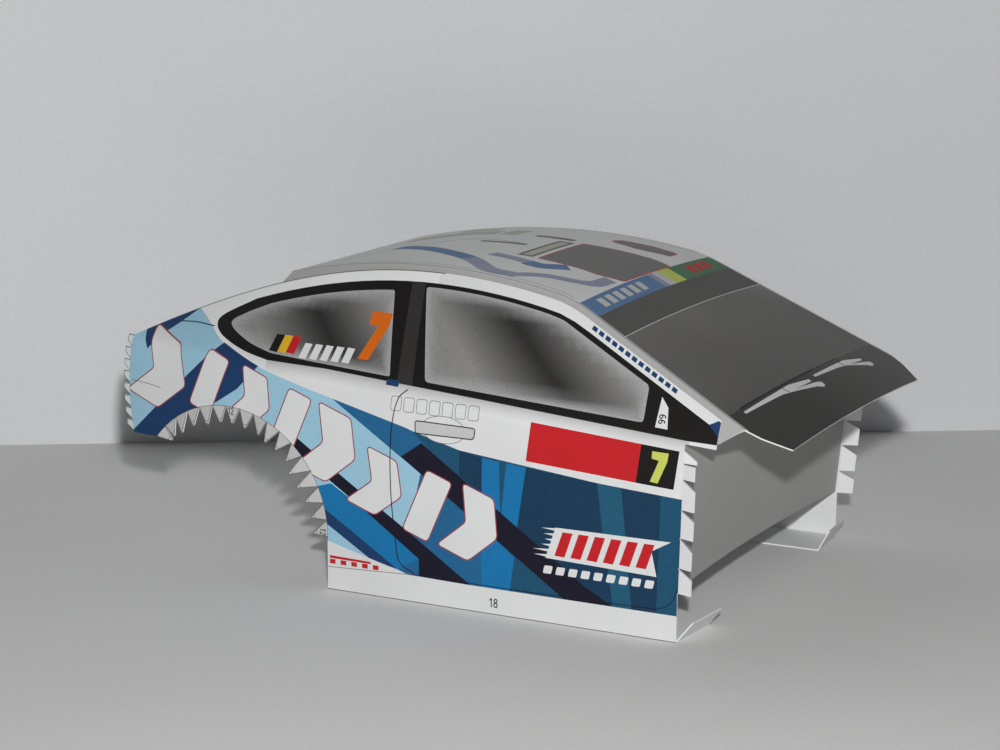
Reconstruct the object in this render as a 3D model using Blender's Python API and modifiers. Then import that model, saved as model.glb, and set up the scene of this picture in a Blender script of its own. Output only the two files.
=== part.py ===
"""Card model of a rally car body, partly put together.

Two printed side sheets, a roof and windscreen sheet, a front bulkhead and two sill flaps make
the middle of the car's body. The glue teeth of the rear wheel arches and the glue tabs of the
front and rear edges stand open, as nothing is glued to them yet.

Units are metres, with X forward, Y to the car's left and Z up from the table. The sizes below
count X from the front edge of the doors, and the body frame moves the model so that its origin
lies under its middle. A side sheet is drawn flat in side view, scored, and then bent to its place.
"""

import math

import bmesh
import bpy
from mathutils import Vector

COLLECTION_NAME = "card_rally_car_body"

# Card
CARD_THICKNESS = 0.0003
GLUE_GAP = 0.00035
HINGE_GAP = 0.0003

# Side sheet
SILL_HALF_WIDTH = 0.0472
TAIL_X = -0.1355
TAIL_BOW = 0.0011
TAIL_TUCK = 0.0042
TAIL_FOOT_Z = 0.028
BELT_Z = 0.0413
BELT_FALL = 0.0645
SIDE_NOSE_X = 0.0072
UPPER_LEAN = 0.52
UPPER_LEAN_AT_TAIL = 1.48

# Front edge of the sides and bulkhead, and its forward run for each metre of rise
FRONT_FOOT_X = -0.0003
FRONT_LEAN_RIGHT = 0.027
FRONT_LEAN_LEFT = 0.089

# Rear wheel arch
ARCH_X = -0.1077
ARCH_Z = 0.0115
ARCH_RADIUS = 0.02585
TOOTH_TIP = 0.0005

# Glue teeth of an arch, from the sill up and over to the tail: length, shift of the tip towards
# the tail, and bend inward in degrees
TEETH = (
    (0.00380, -0.00125, 6.0),
    (0.00395, -0.00095, 6.0),
    (0.00420, -0.00040, -3.0),
    (0.00450, 0.0, -13.0),
    (0.00460, 0.00030, -14.0),
    (0.00405, 0.0, 4.0),
    (0.00400, 0.00020, -3.0),
    (0.00410, 0.0, -8.0),
    (0.00455, -0.00015, 15.0),
    (0.00400, 0.0, 4.0),
    (0.00365, 0.0, 0.0),
    (0.00370, 0.0, 0.0),
    (0.00400, 0.0, -11.0),
    (0.00360, 0.00040, -19.0),
    (0.00400, 0.00065, -22.0),
    (0.00330, 0.00050, -14.0),
    (0.00330, -0.00035, 14.0),
)

# Roof line, on the crease between the roof and its glue flanges
ROOF_TOP_Z = 0.06975
ROOF_TOP_X = -0.063
ROOF_REAR_X = -0.1012
ROOF_REAR_Z = 0.0652
HEADER_X = -0.030
HEADER_Z = 0.066
HEADER_ROUND = 0.004
SCREEN_SLOPE = 0.5
ROOF_CROWN = 0.0010
CROWN_RUN = 0.030

# Glue flanges of the roof sheet
FLANGE_SHOW = 0.0011
FLANGE_DROP = 0.0056
FLANGE_REAR_SLANT = 0.0034
REAR_FLAP_DEPTH = 0.0040
REAR_FLAP_INSET = 0.0030
REAR_FLAP_BEND = math.radians(65)

# Free front end of the windscreen sheet
SCREEN_FLANGE_END_X = 0.0121
SCUTTLE_SHOULDER_X = 0.0155
SCUTTLE_SHOULDER_HALF_WIDTH = 0.0430
SCUTTLE_X = 0.0205
SCUTTLE_HALF_WIDTH = 0.0391

# Bulkhead
BULKHEAD_SETBACK = 0.0003
BULKHEAD_FOOT_Z = 0.0107
BULKHEAD_BOW = 0.0018
BULKHEAD_FLANGE = 0.0040
BULKHEAD_FLANGE_SLANT = 0.0015
BULKHEAD_SHOULDER_INSET = 0.0016
BULKHEAD_TOP_GAP = 0.0009

# Sill flaps
SILL_FLAP_WIDTH = 0.0141
SILL_FLAP_FRONT_REACH = 0.0006
SILL_FLAP_REAR_SLANT = 0.0040
SILL_FLAP_END_GAP = 0.0002
CURL_TAB_LENGTH = 0.0052
CURL_TAB_SLANT = 0.0006

# Front glue tabs of a side sheet: bottom, top, top of the tip, reach, spread outward in degrees
FRONT_TABS = (
    (0.0104, 0.0154, 0.0137, 0.0035, 18.0),
    (0.0157, 0.0216, 0.0195, 0.0034, 22.0),
    (0.0219, 0.0275, 0.0258, 0.0034, 20.0),
    (0.0278, 0.0338, 0.0320, 0.0034, 21.0),
    (0.0341, 0.0371, 0.0371, 0.0032, 23.0),
    (0.0374, 0.0399, 0.0381, 0.0031, 10.0),
)

# Rear glue tabs of a side sheet
REAR_TAB_COUNT = 8
REAR_TAB_LENGTH = 0.0020
REAR_TAB_ROOT = 0.0025
REAR_TAB_TIP = 0.0013
REAR_TAB_BEND = math.radians(17)

# The two sides: name, sign of Y, curl of the sill flap's front tab in degrees
SIDES = (
    ("right", -1, 52.0),
    ("left", 1, 63.0),
)

TAIL_STATIONS = 7
ROOF_STATIONS = 9
HEADER_STATIONS = 4
SCREEN_STATIONS = 4
ROOF_COLUMNS = 6
BULKHEAD_PANELS = 7
TOP_EDGE_STEPS = 14

# Distances for telling and merging points
SAME_PLACE = 1e-6

# Colours: red, green, blue; then roughness
CARD_COLOURS = {
    "printed": ((0.62, 0.74, 0.84), 0.55),
    "roof": ((0.42, 0.41, 0.40), 0.45),
    "plain": ((0.80, 0.80, 0.78), 0.75),
}


# Shape of the body, as functions of the place along the car

def belt_height(x):
    """Height of the scored crease under the windows."""
    return BELT_Z - BELT_FALL * x


def arch_front_x():
    """Front end of the wheel arch, where the sill begins."""
    return ARCH_X + ARCH_RADIUS


def plan_half_width(x):
    """Half width of a side sheet below the crease, tucked in towards the tail."""
    run = (arch_front_x() - x) / (arch_front_x() - TAIL_X)
    tuck = min(max(run, 0.0), 1.0)
    return SILL_HALF_WIDTH - TAIL_TUCK * tuck ** 2


def lean(x):
    """Lean of the side above the crease: width lost for each metre of rise."""
    share = min(x - HEADER_X, 0.0) / (TAIL_X - HEADER_X)
    return UPPER_LEAN + (UPPER_LEAN_AT_TAIL - UPPER_LEAN) * share ** 2


def half_width(x, z):
    """Half width of the outer face of a side sheet."""
    rise = max(z - belt_height(x), 0.0)
    return plan_half_width(x) - rise * lean(x)


def front_lean(share):
    """Lean of the front edge at a share of the half width, from -1 on the right to 1 on the left."""
    return FRONT_LEAN_RIGHT + (FRONT_LEAN_LEFT - FRONT_LEAN_RIGHT) * (share + 1) / 2


def front_edge(share, z):
    """Place of the front edge, which stands upright below the bulkhead and leans above its foot."""
    return FRONT_FOOT_X + front_lean(share) * max(z - BULKHEAD_FOOT_Z, 0.0)


def tail_edge(z):
    """Place of the rear edge, which bows towards the tail at mid height."""
    half = (belt_height(TAIL_X) - TAIL_FOOT_Z) / 2
    share = (z - TAIL_FOOT_Z - half) / half
    return TAIL_X + TAIL_BOW * share ** 2


def roof_line(x):
    """Height of the crease along the edge of the roof and windscreen sheet."""
    front = ROOF_TOP_X - HEADER_X
    fall_ahead = (ROOF_TOP_Z - HEADER_Z) / front ** 2
    fall_behind = (ROOF_TOP_Z - ROOF_REAR_Z) / (ROOF_TOP_X - ROOF_REAR_X) ** 2
    slope_before = 2 * fall_ahead * front
    into_round = x - (HEADER_X - HEADER_ROUND)
    if x < ROOF_TOP_X:
        return ROOF_TOP_Z - fall_behind * (x - ROOF_TOP_X) ** 2
    if into_round < 0:
        return ROOF_TOP_Z - fall_ahead * (x - ROOF_TOP_X) ** 2
    start_z = HEADER_Z - slope_before * HEADER_ROUND
    turn = -SCREEN_SLOPE - slope_before
    if into_round < 2 * HEADER_ROUND:
        return start_z + slope_before * into_round + turn * into_round ** 2 / (4 * HEADER_ROUND)
    end_z = start_z + (slope_before - SCREEN_SLOPE) * HEADER_ROUND
    return end_z - SCREEN_SLOPE * (into_round - 2 * HEADER_ROUND)


def side_top(x):
    """Height of the top edge of a side sheet."""
    if x > ROOF_TOP_X:
        return roof_line(x) - FLANGE_SHOW
    top = ROOF_TOP_Z - FLANGE_SHOW
    share = (x - ROOF_TOP_X) / (TAIL_X + TAIL_BOW - ROOF_TOP_X)
    return top - (top - belt_height(TAIL_X)) * share ** 2


def seat(x):
    """Sideways distance from a side's outer face to a flange glued inside it."""
    return (CARD_THICKNESS + GLUE_GAP) * math.hypot(1.0, lean(x))


def roof_half_width(x):
    """Half width of the roof and windscreen sheet at its creases."""
    return half_width(x, roof_line(x)) - seat(x)


def crown(x):
    """Height of the middle of the roof above its creases."""
    run = min(max((x - ROOF_REAR_X) / CROWN_RUN, 0.0), 1.0)
    return ROOF_CROWN * run * run * (3 - 2 * run)


# Card work

def make_material(name):
    """Principled material of one kind of card."""
    colour, roughness = CARD_COLOURS[name]
    material = bpy.data.materials.new(name + "_card")
    material.use_nodes = True
    shader = material.node_tree.nodes["Principled BSDF"]
    shader.inputs["Base Color"].default_value = (*colour, 1.0)
    shader.inputs["Roughness"].default_value = roughness
    shader.inputs["Metallic"].default_value = 0.0
    return material


def cut_flat(outline):
    """Cut one flat sheet from an outline and return it as a bmesh with a single face."""
    curve = bpy.data.curves.new("outline", "CURVE")
    curve.dimensions = "2D"
    curve.fill_mode = "BOTH"
    spline = curve.splines.new("POLY")
    spline.points.add(len(outline) - 1)
    for point, (along, up) in zip(spline.points, outline):
        point.co = (along, up, 0.0, 1.0)
    spline.use_cyclic_u = True
    blank = bpy.data.objects.new("outline", curve)
    bpy.context.scene.collection.objects.link(blank)
    graph = bpy.context.evaluated_depsgraph_get()
    mesh = bpy.data.meshes.new_from_object(blank.evaluated_get(graph))
    bpy.data.objects.remove(blank)
    sheet = bmesh.new()
    sheet.from_mesh(mesh)
    bpy.data.meshes.remove(mesh)
    bmesh.ops.remove_doubles(sheet, verts=sheet.verts, dist=SAME_PLACE)
    inner = [edge for edge in sheet.edges if len(edge.link_faces) == 2]
    bmesh.ops.dissolve_edges(sheet, edges=inner, use_verts=False, use_face_split=False)
    return sheet


def score(sheet, point, across):
    """Score a straight fold line through a point, square to the direction across."""
    everything = sheet.verts[:] + sheet.edges[:] + sheet.faces[:]
    bmesh.ops.bisect_plane(
        sheet, geom=everything, dist=SAME_PLACE, plane_co=(*point, 0.0), plane_no=(*across, 0.0)
    )


def score_between(sheet, start, end):
    """Score a fold line between two corners of the outline."""
    pair = [min(sheet.verts, key=lambda v: (v.co.xy - Vector(p)).length) for p in (start, end)]
    bmesh.ops.connect_vert_pair(sheet, verts=pair)


def bend(sheet, place):
    """Move each point of the flat sheet to its place on the car."""
    for vertex in sheet.verts:
        vertex.co = place(vertex.co.x, vertex.co.y)


def face_outwards(sheet, outward):
    """Turn the sheet's faces so that the largest looks in the outward direction."""
    largest = max(sheet.faces, key=lambda face: face.calc_area())
    sheet.normal_update()
    if largest.normal.dot(Vector(outward)) < 0:
        bmesh.ops.reverse_faces(sheet, faces=sheet.faces)


def finish_card(sheet, name, material, body_frame, origin=(0.0, 0.0, 0.0)):
    """Give a bent sheet its thickness, on the inner side, and place it in the body frame."""
    mesh = bpy.data.meshes.new(name)
    bmesh.ops.remove_doubles(sheet, verts=sheet.verts, dist=SAME_PLACE)
    bmesh.ops.translate(sheet, verts=sheet.verts, vec=-Vector(origin))
    sheet.to_mesh(mesh)
    sheet.free()
    mesh.materials.append(material)
    card = bpy.data.objects.new(name, mesh)
    card.location = origin
    card.parent = body_frame
    body_frame.users_collection[0].objects.link(card)
    thickness = card.modifiers.new("card", "SOLIDIFY")
    thickness.thickness = CARD_THICKNESS
    thickness.offset = -1.0
    thickness.use_even_offset = True
    return card


# Side sheets

def arch_point(angle, radius):
    """Point at an angle and radius round the wheel arch's centre, in side view."""
    return (ARCH_X + radius * math.cos(angle), ARCH_Z + radius * math.sin(angle))


def tooth_roots():
    """Angles of the glue teeth's roots, from the sill up and over to the tail."""
    end = math.pi - math.asin((TAIL_FOOT_Z - ARCH_Z) / ARCH_RADIUS)
    return [end * step / len(TEETH) for step in range(len(TEETH) + 1)]


def tooth_tip(index):
    """Two corners of a tooth's tip, the one nearer the sill first."""
    length, shift, _ = TEETH[index]
    radius = ARCH_RADIUS - length
    roots = tooth_roots()
    middle = (roots[index] + roots[index + 1]) / 2
    return [
        arch_point(middle + (shift - TOOTH_TIP / 2) / radius, radius),
        arch_point(middle + (shift + TOOTH_TIP / 2) / radius, radius),
    ]


def tooth_bend(angle):
    """Bend of the tooth that stands at an angle round the arch."""
    roots = tooth_roots()
    index = min(max(int(angle / roots[1]), 0), len(TEETH) - 1)
    return math.radians(TEETH[index][2])


def front_tab(sign, tab):
    """Four corners of a front glue tab, its two roots first and last."""
    bottom, top, tip_top, reach, _ = tab
    return [
        (front_edge(sign, bottom), bottom),
        (front_edge(sign, bottom) + reach, bottom),
        (front_edge(sign, tip_top) + reach, tip_top),
        (front_edge(sign, top), top),
    ]


def rear_tab(index):
    """Four corners of a rear glue tab, its two roots first and last."""
    pitch = (belt_height(TAIL_X) - TAIL_FOOT_Z) / REAR_TAB_COUNT
    top = belt_height(TAIL_X) - pitch * index
    foot = top - REAR_TAB_ROOT
    return [
        (tail_edge(top), top),
        (tail_edge(top) - REAR_TAB_LENGTH, top),
        (tail_edge(top) - REAR_TAB_LENGTH, top - REAR_TAB_TIP),
        (tail_edge(foot), foot),
    ]


def side_outline(sign):
    """Outline of a side sheet in side view, from the sill's front corner round to its rear."""
    outline = [(front_edge(sign, 0.0), 0.0)]
    for tab in FRONT_TABS:
        outline += front_tab(sign, tab)
    belt = belt_height(front_edge(sign, BELT_Z))
    outline.append((front_edge(sign, belt), belt))
    outline.append((SIDE_NOSE_X, belt_height(SIDE_NOSE_X)))
    outline.append((SIDE_NOSE_X, side_top(SIDE_NOSE_X)))
    header_end = HEADER_X + HEADER_ROUND
    for step in range(HEADER_STATIONS + 1):
        x = header_end - 2 * HEADER_ROUND * step / HEADER_STATIONS
        outline.append((x, side_top(x)))
    start = HEADER_X - HEADER_ROUND
    end = tail_edge(belt_height(TAIL_X))
    for step in range(1, TOP_EDGE_STEPS):
        x = start + (end - start) * step / TOP_EDGE_STEPS
        outline.append((x, side_top(x)))
    for index in range(REAR_TAB_COUNT):
        outline += rear_tab(index)
    outline.append((tail_edge(TAIL_FOOT_Z), TAIL_FOOT_Z))
    roots = tooth_roots()
    for index in reversed(range(len(TEETH))):
        outline.append(arch_point(roots[index + 1], ARCH_RADIUS))
        outline += reversed(tooth_tip(index))
    outline.append(arch_point(0.0, ARCH_RADIUS))
    outline.append((arch_front_x(), 0.0))
    return outline


def front_tab_bend(z):
    """Outward bend of the front tab that holds the height z."""
    nearest = min(FRONT_TABS, key=lambda tab: max(tab[0] - z, z - tab[1], 0.0))
    return math.radians(nearest[4])


def side_place(sign):
    """Return the function that bends a flat side sheet to the car's side."""
    def place(x, z):
        depth = ARCH_RADIUS - math.hypot(x - ARCH_X, z - ARCH_Z)
        behind = tail_edge(z) - x
        ahead = x - front_edge(sign, z)
        inward = 0.0
        if depth > SAME_PLACE and z > 0.0:
            angle = math.atan2(z - ARCH_Z, x - ARCH_X)
            bend_angle = tooth_bend(angle)
            x, z = arch_point(angle, ARCH_RADIUS - depth * math.cos(bend_angle))
            inward = depth * math.sin(bend_angle)
        elif behind > SAME_PLACE:
            x = tail_edge(z) - behind * math.cos(REAR_TAB_BEND)
            inward = behind * math.sin(REAR_TAB_BEND)
        elif ahead > SAME_PLACE and z < FRONT_TABS[-1][1]:
            x = front_edge(sign, z) + ahead * math.cos(front_tab_bend(z))
            inward = -ahead * math.sin(front_tab_bend(z))
        return Vector((x, sign * (half_width(x, z) - inward), z))
    return place


def make_side_sheet(name, sign, material, body_frame):
    """One printed side: door, rear quarter, window band and wheel arch with its teeth."""
    sheet = cut_flat(side_outline(sign))
    roots = tooth_roots()
    for start, end in zip(roots[:-1], roots[1:]):
        score_between(sheet, arch_point(start, ARCH_RADIUS), arch_point(end, ARCH_RADIUS))
    tabs = [front_tab(sign, tab) for tab in FRONT_TABS]
    tabs += [rear_tab(index) for index in range(REAR_TAB_COUNT)]
    for corners in tabs:
        score_between(sheet, corners[0], corners[-1])
    score(sheet, (0.0, belt_height(0.0)), (BELT_FALL, 1.0))
    for step in range(1, TAIL_STATIONS):
        x = arch_front_x() + (TAIL_X - arch_front_x()) * step / TAIL_STATIONS
        score(sheet, (x, 0.0), (1.0, 0.0))
    for step in range(TAIL_STATIONS):
        x = HEADER_X + (arch_front_x() - HEADER_X) * step / TAIL_STATIONS
        score(sheet, (x, 0.0), (1.0, 0.0))
    bend(sheet, side_place(sign))
    face_outwards(sheet, (0.0, sign, 0.0))
    return finish_card(sheet, name, material, body_frame)


# Roof and windscreen sheet

def roof_stations():
    """Places along the car where the roof and windscreen sheet is shaped."""
    stations = []
    start = HEADER_X - HEADER_ROUND
    for step in range(ROOF_STATIONS):
        stations.append(ROOF_REAR_X + (start - ROOF_REAR_X) * step / ROOF_STATIONS)
    for step in range(HEADER_STATIONS):
        stations.append(start + 2 * HEADER_ROUND * step / HEADER_STATIONS)
    end = HEADER_X + HEADER_ROUND
    for step in range(SCREEN_STATIONS):
        stations.append(end + (SIDE_NOSE_X - end) * step / SCREEN_STATIONS)
    stations += [SIDE_NOSE_X, SCREEN_FLANGE_END_X, SCUTTLE_SHOULDER_X, SCUTTLE_X]
    return stations


def sheet_half_width(x):
    """Half width of the roof sheet, also past the pillars' feet, where it runs free."""
    if x <= SCREEN_FLANGE_END_X:
        return roof_half_width(x)
    if x <= SCUTTLE_SHOULDER_X:
        return SCUTTLE_SHOULDER_HALF_WIDTH
    return SCUTTLE_HALF_WIDTH


def roof_point(x, share):
    """Point of the roof sheet at a station, at a share of its half width."""
    width = sheet_half_width(x)
    z = roof_line(x) + crown(x) * (1 - share ** 2)
    return Vector((x, share * width, z))


def flange_point(x, sign, slant):
    """Lower edge of the roof sheet's glue flange, which lies inside the side sheet."""
    low_z = roof_line(x) - FLANGE_DROP
    low_x = x - slant
    spring = CARD_THICKNESS if slant else 0.0
    return Vector((low_x, sign * (half_width(low_x, low_z) - seat(low_x) - spring), low_z))


def make_roof_sheet(name, material, body_frame):
    """Roof and windscreen in one bent sheet, with its glue flanges and a small rear flap."""
    stations = roof_stations()
    shares = [-1 + 2 * step / ROOF_COLUMNS for step in range(ROOF_COLUMNS + 1)]
    sheet = bmesh.new()
    bmesh.ops.create_grid(sheet, x_segments=len(stations), y_segments=len(shares) + 1, size=0.5)
    columns = sorted(sheet.verts, key=lambda v: (round(v.co.x, 6), round(v.co.y, 6)))
    row_size = len(shares) + 2
    rows = [columns[i:i + row_size] for i in range(0, len(columns), row_size)]
    corners = [rows[0][0], rows[0][-1]]
    flap_edge = rows[0][1:-1]
    for vertex, share in zip(flap_edge, shares):
        base = roof_point(stations[0], share)
        inset = (sheet_half_width(stations[0]) - REAR_FLAP_INSET) / sheet_half_width(stations[0])
        back = REAR_FLAP_DEPTH * math.cos(REAR_FLAP_BEND)
        down = REAR_FLAP_DEPTH * math.sin(REAR_FLAP_BEND)
        vertex.co = Vector((base.x - back, base.y * inset, base.z - down))
    for row, x in zip(rows[1:], stations):
        slant = FLANGE_REAR_SLANT if x == stations[0] else 0.0
        for vertex, share in zip(row[1:-1], shares):
            vertex.co = roof_point(x, share)
        for vertex, sign, crease in ((row[0], -1, row[1]), (row[-1], 1, row[-2])):
            if x < SCREEN_FLANGE_END_X:
                vertex.co = flange_point(x, sign, slant)
            else:
                vertex.co = crease.co
    bmesh.ops.delete(sheet, geom=corners, context="VERTS")
    bmesh.ops.remove_doubles(sheet, verts=sheet.verts, dist=SAME_PLACE)
    face_outwards(sheet, (0.0, 0.0, 1.0))
    return finish_card(sheet, name, material, body_frame)


# Bulkhead

def bulkhead_fold():
    """Half width of the bulkhead between the folds of its glue flanges."""
    return SILL_HALF_WIDTH - CARD_THICKNESS - GLUE_GAP


def bulkhead_top(share):
    """Height at which the leaning bulkhead comes up under the windscreen."""
    lean_rise = SCREEN_SLOPE * front_lean(share)
    screen = roof_line(FRONT_FOOT_X) - BULKHEAD_TOP_GAP - CARD_THICKNESS
    return (screen + lean_rise * BULKHEAD_FOOT_Z) / (1 + lean_rise)


def bulkhead_place(across, z):
    """Bow the bulkhead backwards and fold its flanges back along the sides."""
    fold = bulkhead_fold()
    share = min(max(across / fold, -1.0), 1.0)
    past_fold = max(abs(across) - fold, 0.0)
    bow = BULKHEAD_BOW * (1 - share ** 2)
    x = front_edge(share, z) - BULKHEAD_SETBACK - bow - past_fold
    return Vector((x, share * fold, z))


def make_bulkhead(name, material, body_frame):
    """Plain sheet across the front, glued inside the side sheets."""
    fold = bulkhead_fold()
    shoulder_z = belt_height(FRONT_FOOT_X) - GLUE_GAP
    shoulder = fold - BULKHEAD_SHOULDER_INSET
    flange_foot = BULKHEAD_FOOT_Z + BULKHEAD_FLANGE_SLANT
    flange_top = shoulder_z - BULKHEAD_FLANGE_SLANT
    halves = []
    for share in (-1, 1):
        top_z = bulkhead_top(share)
        top_x = front_edge(share, top_z)
        top = half_width(top_x, top_z) - seat(top_x) - BULKHEAD_SHOULDER_INSET
        half = [
            (fold, BULKHEAD_FOOT_Z),
            (fold + BULKHEAD_FLANGE, flange_foot),
            (fold + BULKHEAD_FLANGE, flange_top),
            (fold, shoulder_z),
            (shoulder, shoulder_z),
            (top, top_z),
        ]
        halves.append([(share * across, z) for across, z in half])
    sheet = cut_flat(halves[0] + halves[1][::-1])
    for step in range(BULKHEAD_PANELS + 1):
        across = fold * (2 * step / BULKHEAD_PANELS - 1)
        score(sheet, (across, 0.0), (1.0, 0.0))
    bend(sheet, bulkhead_place)
    face_outwards(sheet, (1.0, 0.0, 0.0))
    return finish_card(sheet, name, material, body_frame)


# Sill flaps

def flap_fold():
    """Half width at the fold line of a sill flap."""
    return SILL_HALF_WIDTH - CARD_THICKNESS - HINGE_GAP


def make_sill_flap(name, sign, curl, material, body_frame):
    """Plain glue flap folded inwards on the table, with a small front tab that curls up."""
    rear = arch_front_x() + SILL_FLAP_END_GAP
    tab_root = Vector((FRONT_FOOT_X - SILL_FLAP_END_GAP, 0.0))
    tab_end = Vector((SILL_FLAP_FRONT_REACH, SILL_FLAP_WIDTH))
    along = (tab_end - tab_root).normalized()
    ahead = Vector((along.y, -along.x))
    outline = [
        (rear, 0.0),
        tuple(tab_root),
        tuple(tab_root + along * CURL_TAB_SLANT + ahead * CURL_TAB_LENGTH),
        tuple(tab_end - along * CURL_TAB_SLANT + ahead * CURL_TAB_LENGTH),
        tuple(tab_end),
        (rear + SILL_FLAP_REAR_SLANT, SILL_FLAP_WIDTH),
    ]
    sheet = cut_flat(outline)
    score_between(sheet, tuple(tab_root), tuple(tab_end))
    angle = math.radians(curl)

    def place(x, inward):
        beyond = (Vector((x, inward)) - tab_root).dot(ahead)
        height = CARD_THICKNESS
        if beyond > SAME_PLACE:
            flat = Vector((x, inward)) - ahead * beyond * (1 - math.cos(angle))
            x, inward = flat
            height += beyond * math.sin(angle)
        return Vector((x, sign * (flap_fold() - inward), height))

    bend(sheet, place)
    face_outwards(sheet, (0.0, 0.0, 1.0))
    crease = (0.0, sign * flap_fold(), CARD_THICKNESS / 2)
    return finish_card(sheet, name, material, body_frame, crease)


def middle_x():
    """Middle of the model's length, from the tips of the rear tabs to the windscreen's end."""
    lowest_tab = min(corner[0] for i in range(REAR_TAB_COUNT) for corner in rear_tab(i))
    tab_tip = lowest_tab + REAR_TAB_LENGTH * (1 - math.cos(REAR_TAB_BEND))
    return (tab_tip + SCUTTLE_X) / 2


def main():
    """Clear the scene and build every piece of card."""
    for existing in list(bpy.data.objects):
        bpy.data.objects.remove(existing)
    collection = bpy.data.collections.new(COLLECTION_NAME)
    bpy.context.scene.collection.children.link(collection)
    body_frame = bpy.data.objects.new("body_frame", None)
    body_frame.location = (-middle_x(), 0.0, 0.0)
    collection.objects.link(body_frame)
    materials = {name: make_material(name) for name in CARD_COLOURS}
    for side, sign, curl in SIDES:
        make_side_sheet("side_sheet_" + side, sign, materials["printed"], body_frame)
        make_sill_flap("sill_flap_" + side, sign, curl, materials["plain"], body_frame)
    make_roof_sheet("roof_screen_sheet", materials["roof"], body_frame)
    make_bulkhead("front_bulkhead", materials["plain"], body_frame)


main()
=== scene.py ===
"""Looks of a printed card model: the middle of a rally car's body, partly put together.

Each piece of card is drawn flat, with the shapes of ink that are printed on it, and is then bent
to its place on the car. Sizes are millimetres unless a name says otherwise, with X forward from
the front edge of the doors, Y to the car's left and Z up from the table.
"""
import logging
import math
from dataclasses import dataclass, field
from enum import Enum
from typing import Callable, Optional, Sequence

import bmesh
import bpy
from mathutils import Matrix, Vector
from mathutils.geometry import delaunay_2d_cdt


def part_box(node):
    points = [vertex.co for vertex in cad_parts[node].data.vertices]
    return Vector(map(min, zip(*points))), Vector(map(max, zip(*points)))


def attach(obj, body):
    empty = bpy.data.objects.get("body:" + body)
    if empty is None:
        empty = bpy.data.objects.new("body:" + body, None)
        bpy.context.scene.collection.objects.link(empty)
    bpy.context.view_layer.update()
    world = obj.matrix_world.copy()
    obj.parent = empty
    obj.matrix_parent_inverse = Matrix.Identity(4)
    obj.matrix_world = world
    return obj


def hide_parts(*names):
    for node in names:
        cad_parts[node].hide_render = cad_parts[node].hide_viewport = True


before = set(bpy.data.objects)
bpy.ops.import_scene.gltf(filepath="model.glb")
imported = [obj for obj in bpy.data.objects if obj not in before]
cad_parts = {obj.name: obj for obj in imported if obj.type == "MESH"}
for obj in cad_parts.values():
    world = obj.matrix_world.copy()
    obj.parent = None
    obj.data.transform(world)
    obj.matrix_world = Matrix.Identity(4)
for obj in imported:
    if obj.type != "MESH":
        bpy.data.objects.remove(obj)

LOG = logging.getLogger("card_rally_car")

Point = tuple[float, float]
Outline = Sequence[Point]
Colour = tuple[float, float, float]
Socket = bpy.types.NodeSocket

MM = 0.001
# Points of a flat sheet that are nearer than this are one point
CUT_TOLERANCE = 1e-4
# Edges that turn more than this stay sharp
CREASE_ANGLE = math.radians(24)
# Range that nearly all values of a noise lie in
NOISE_SPAN = (0.3, 0.7)


class Side(Enum):
    """A side of the car, with the sign of Y there."""

    RIGHT = -1
    LEFT = 1

    @property
    def label(self) -> str:
        """Name of the side as the nodes spell it."""
        return self.name.lower()


class Ink(Enum):
    """Every finish that a place on a sheet can have, in the order of its material slots."""

    LIGHT_BLUE = "light_blue"
    NAVY = "navy"
    MID_BLUE = "mid_blue"
    BRIGHT_TEAL = "bright_teal"
    FRONT_TEAL = "front_teal"
    TEAL = "teal"
    DEEP_TEAL = "deep_teal"
    NIGHT = "night"
    BLACK = "black"
    FRAME_GREY = "frame_grey"
    LINE_GREY = "line_grey"
    PALE_GREY = "pale_grey"
    MAROON = "maroon"
    RED = "red"
    ORANGE = "orange"
    YELLOW = "yellow"
    LIME = "lime"
    GREEN = "green"
    STRIP_BLUE = "strip_blue"
    MAUVE = "mauve"
    OLIVE = "olive"
    HATCH = "hatch"
    WINDOW = "window"
    SCREEN = "screen"
    SCUTTLE = "scuttle"
    BELT_SHADE = "belt_shade"
    SHADED_CARD = "shaded_card"
    WHITE = "white"
    CARD = "card"


# Finishes

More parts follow.
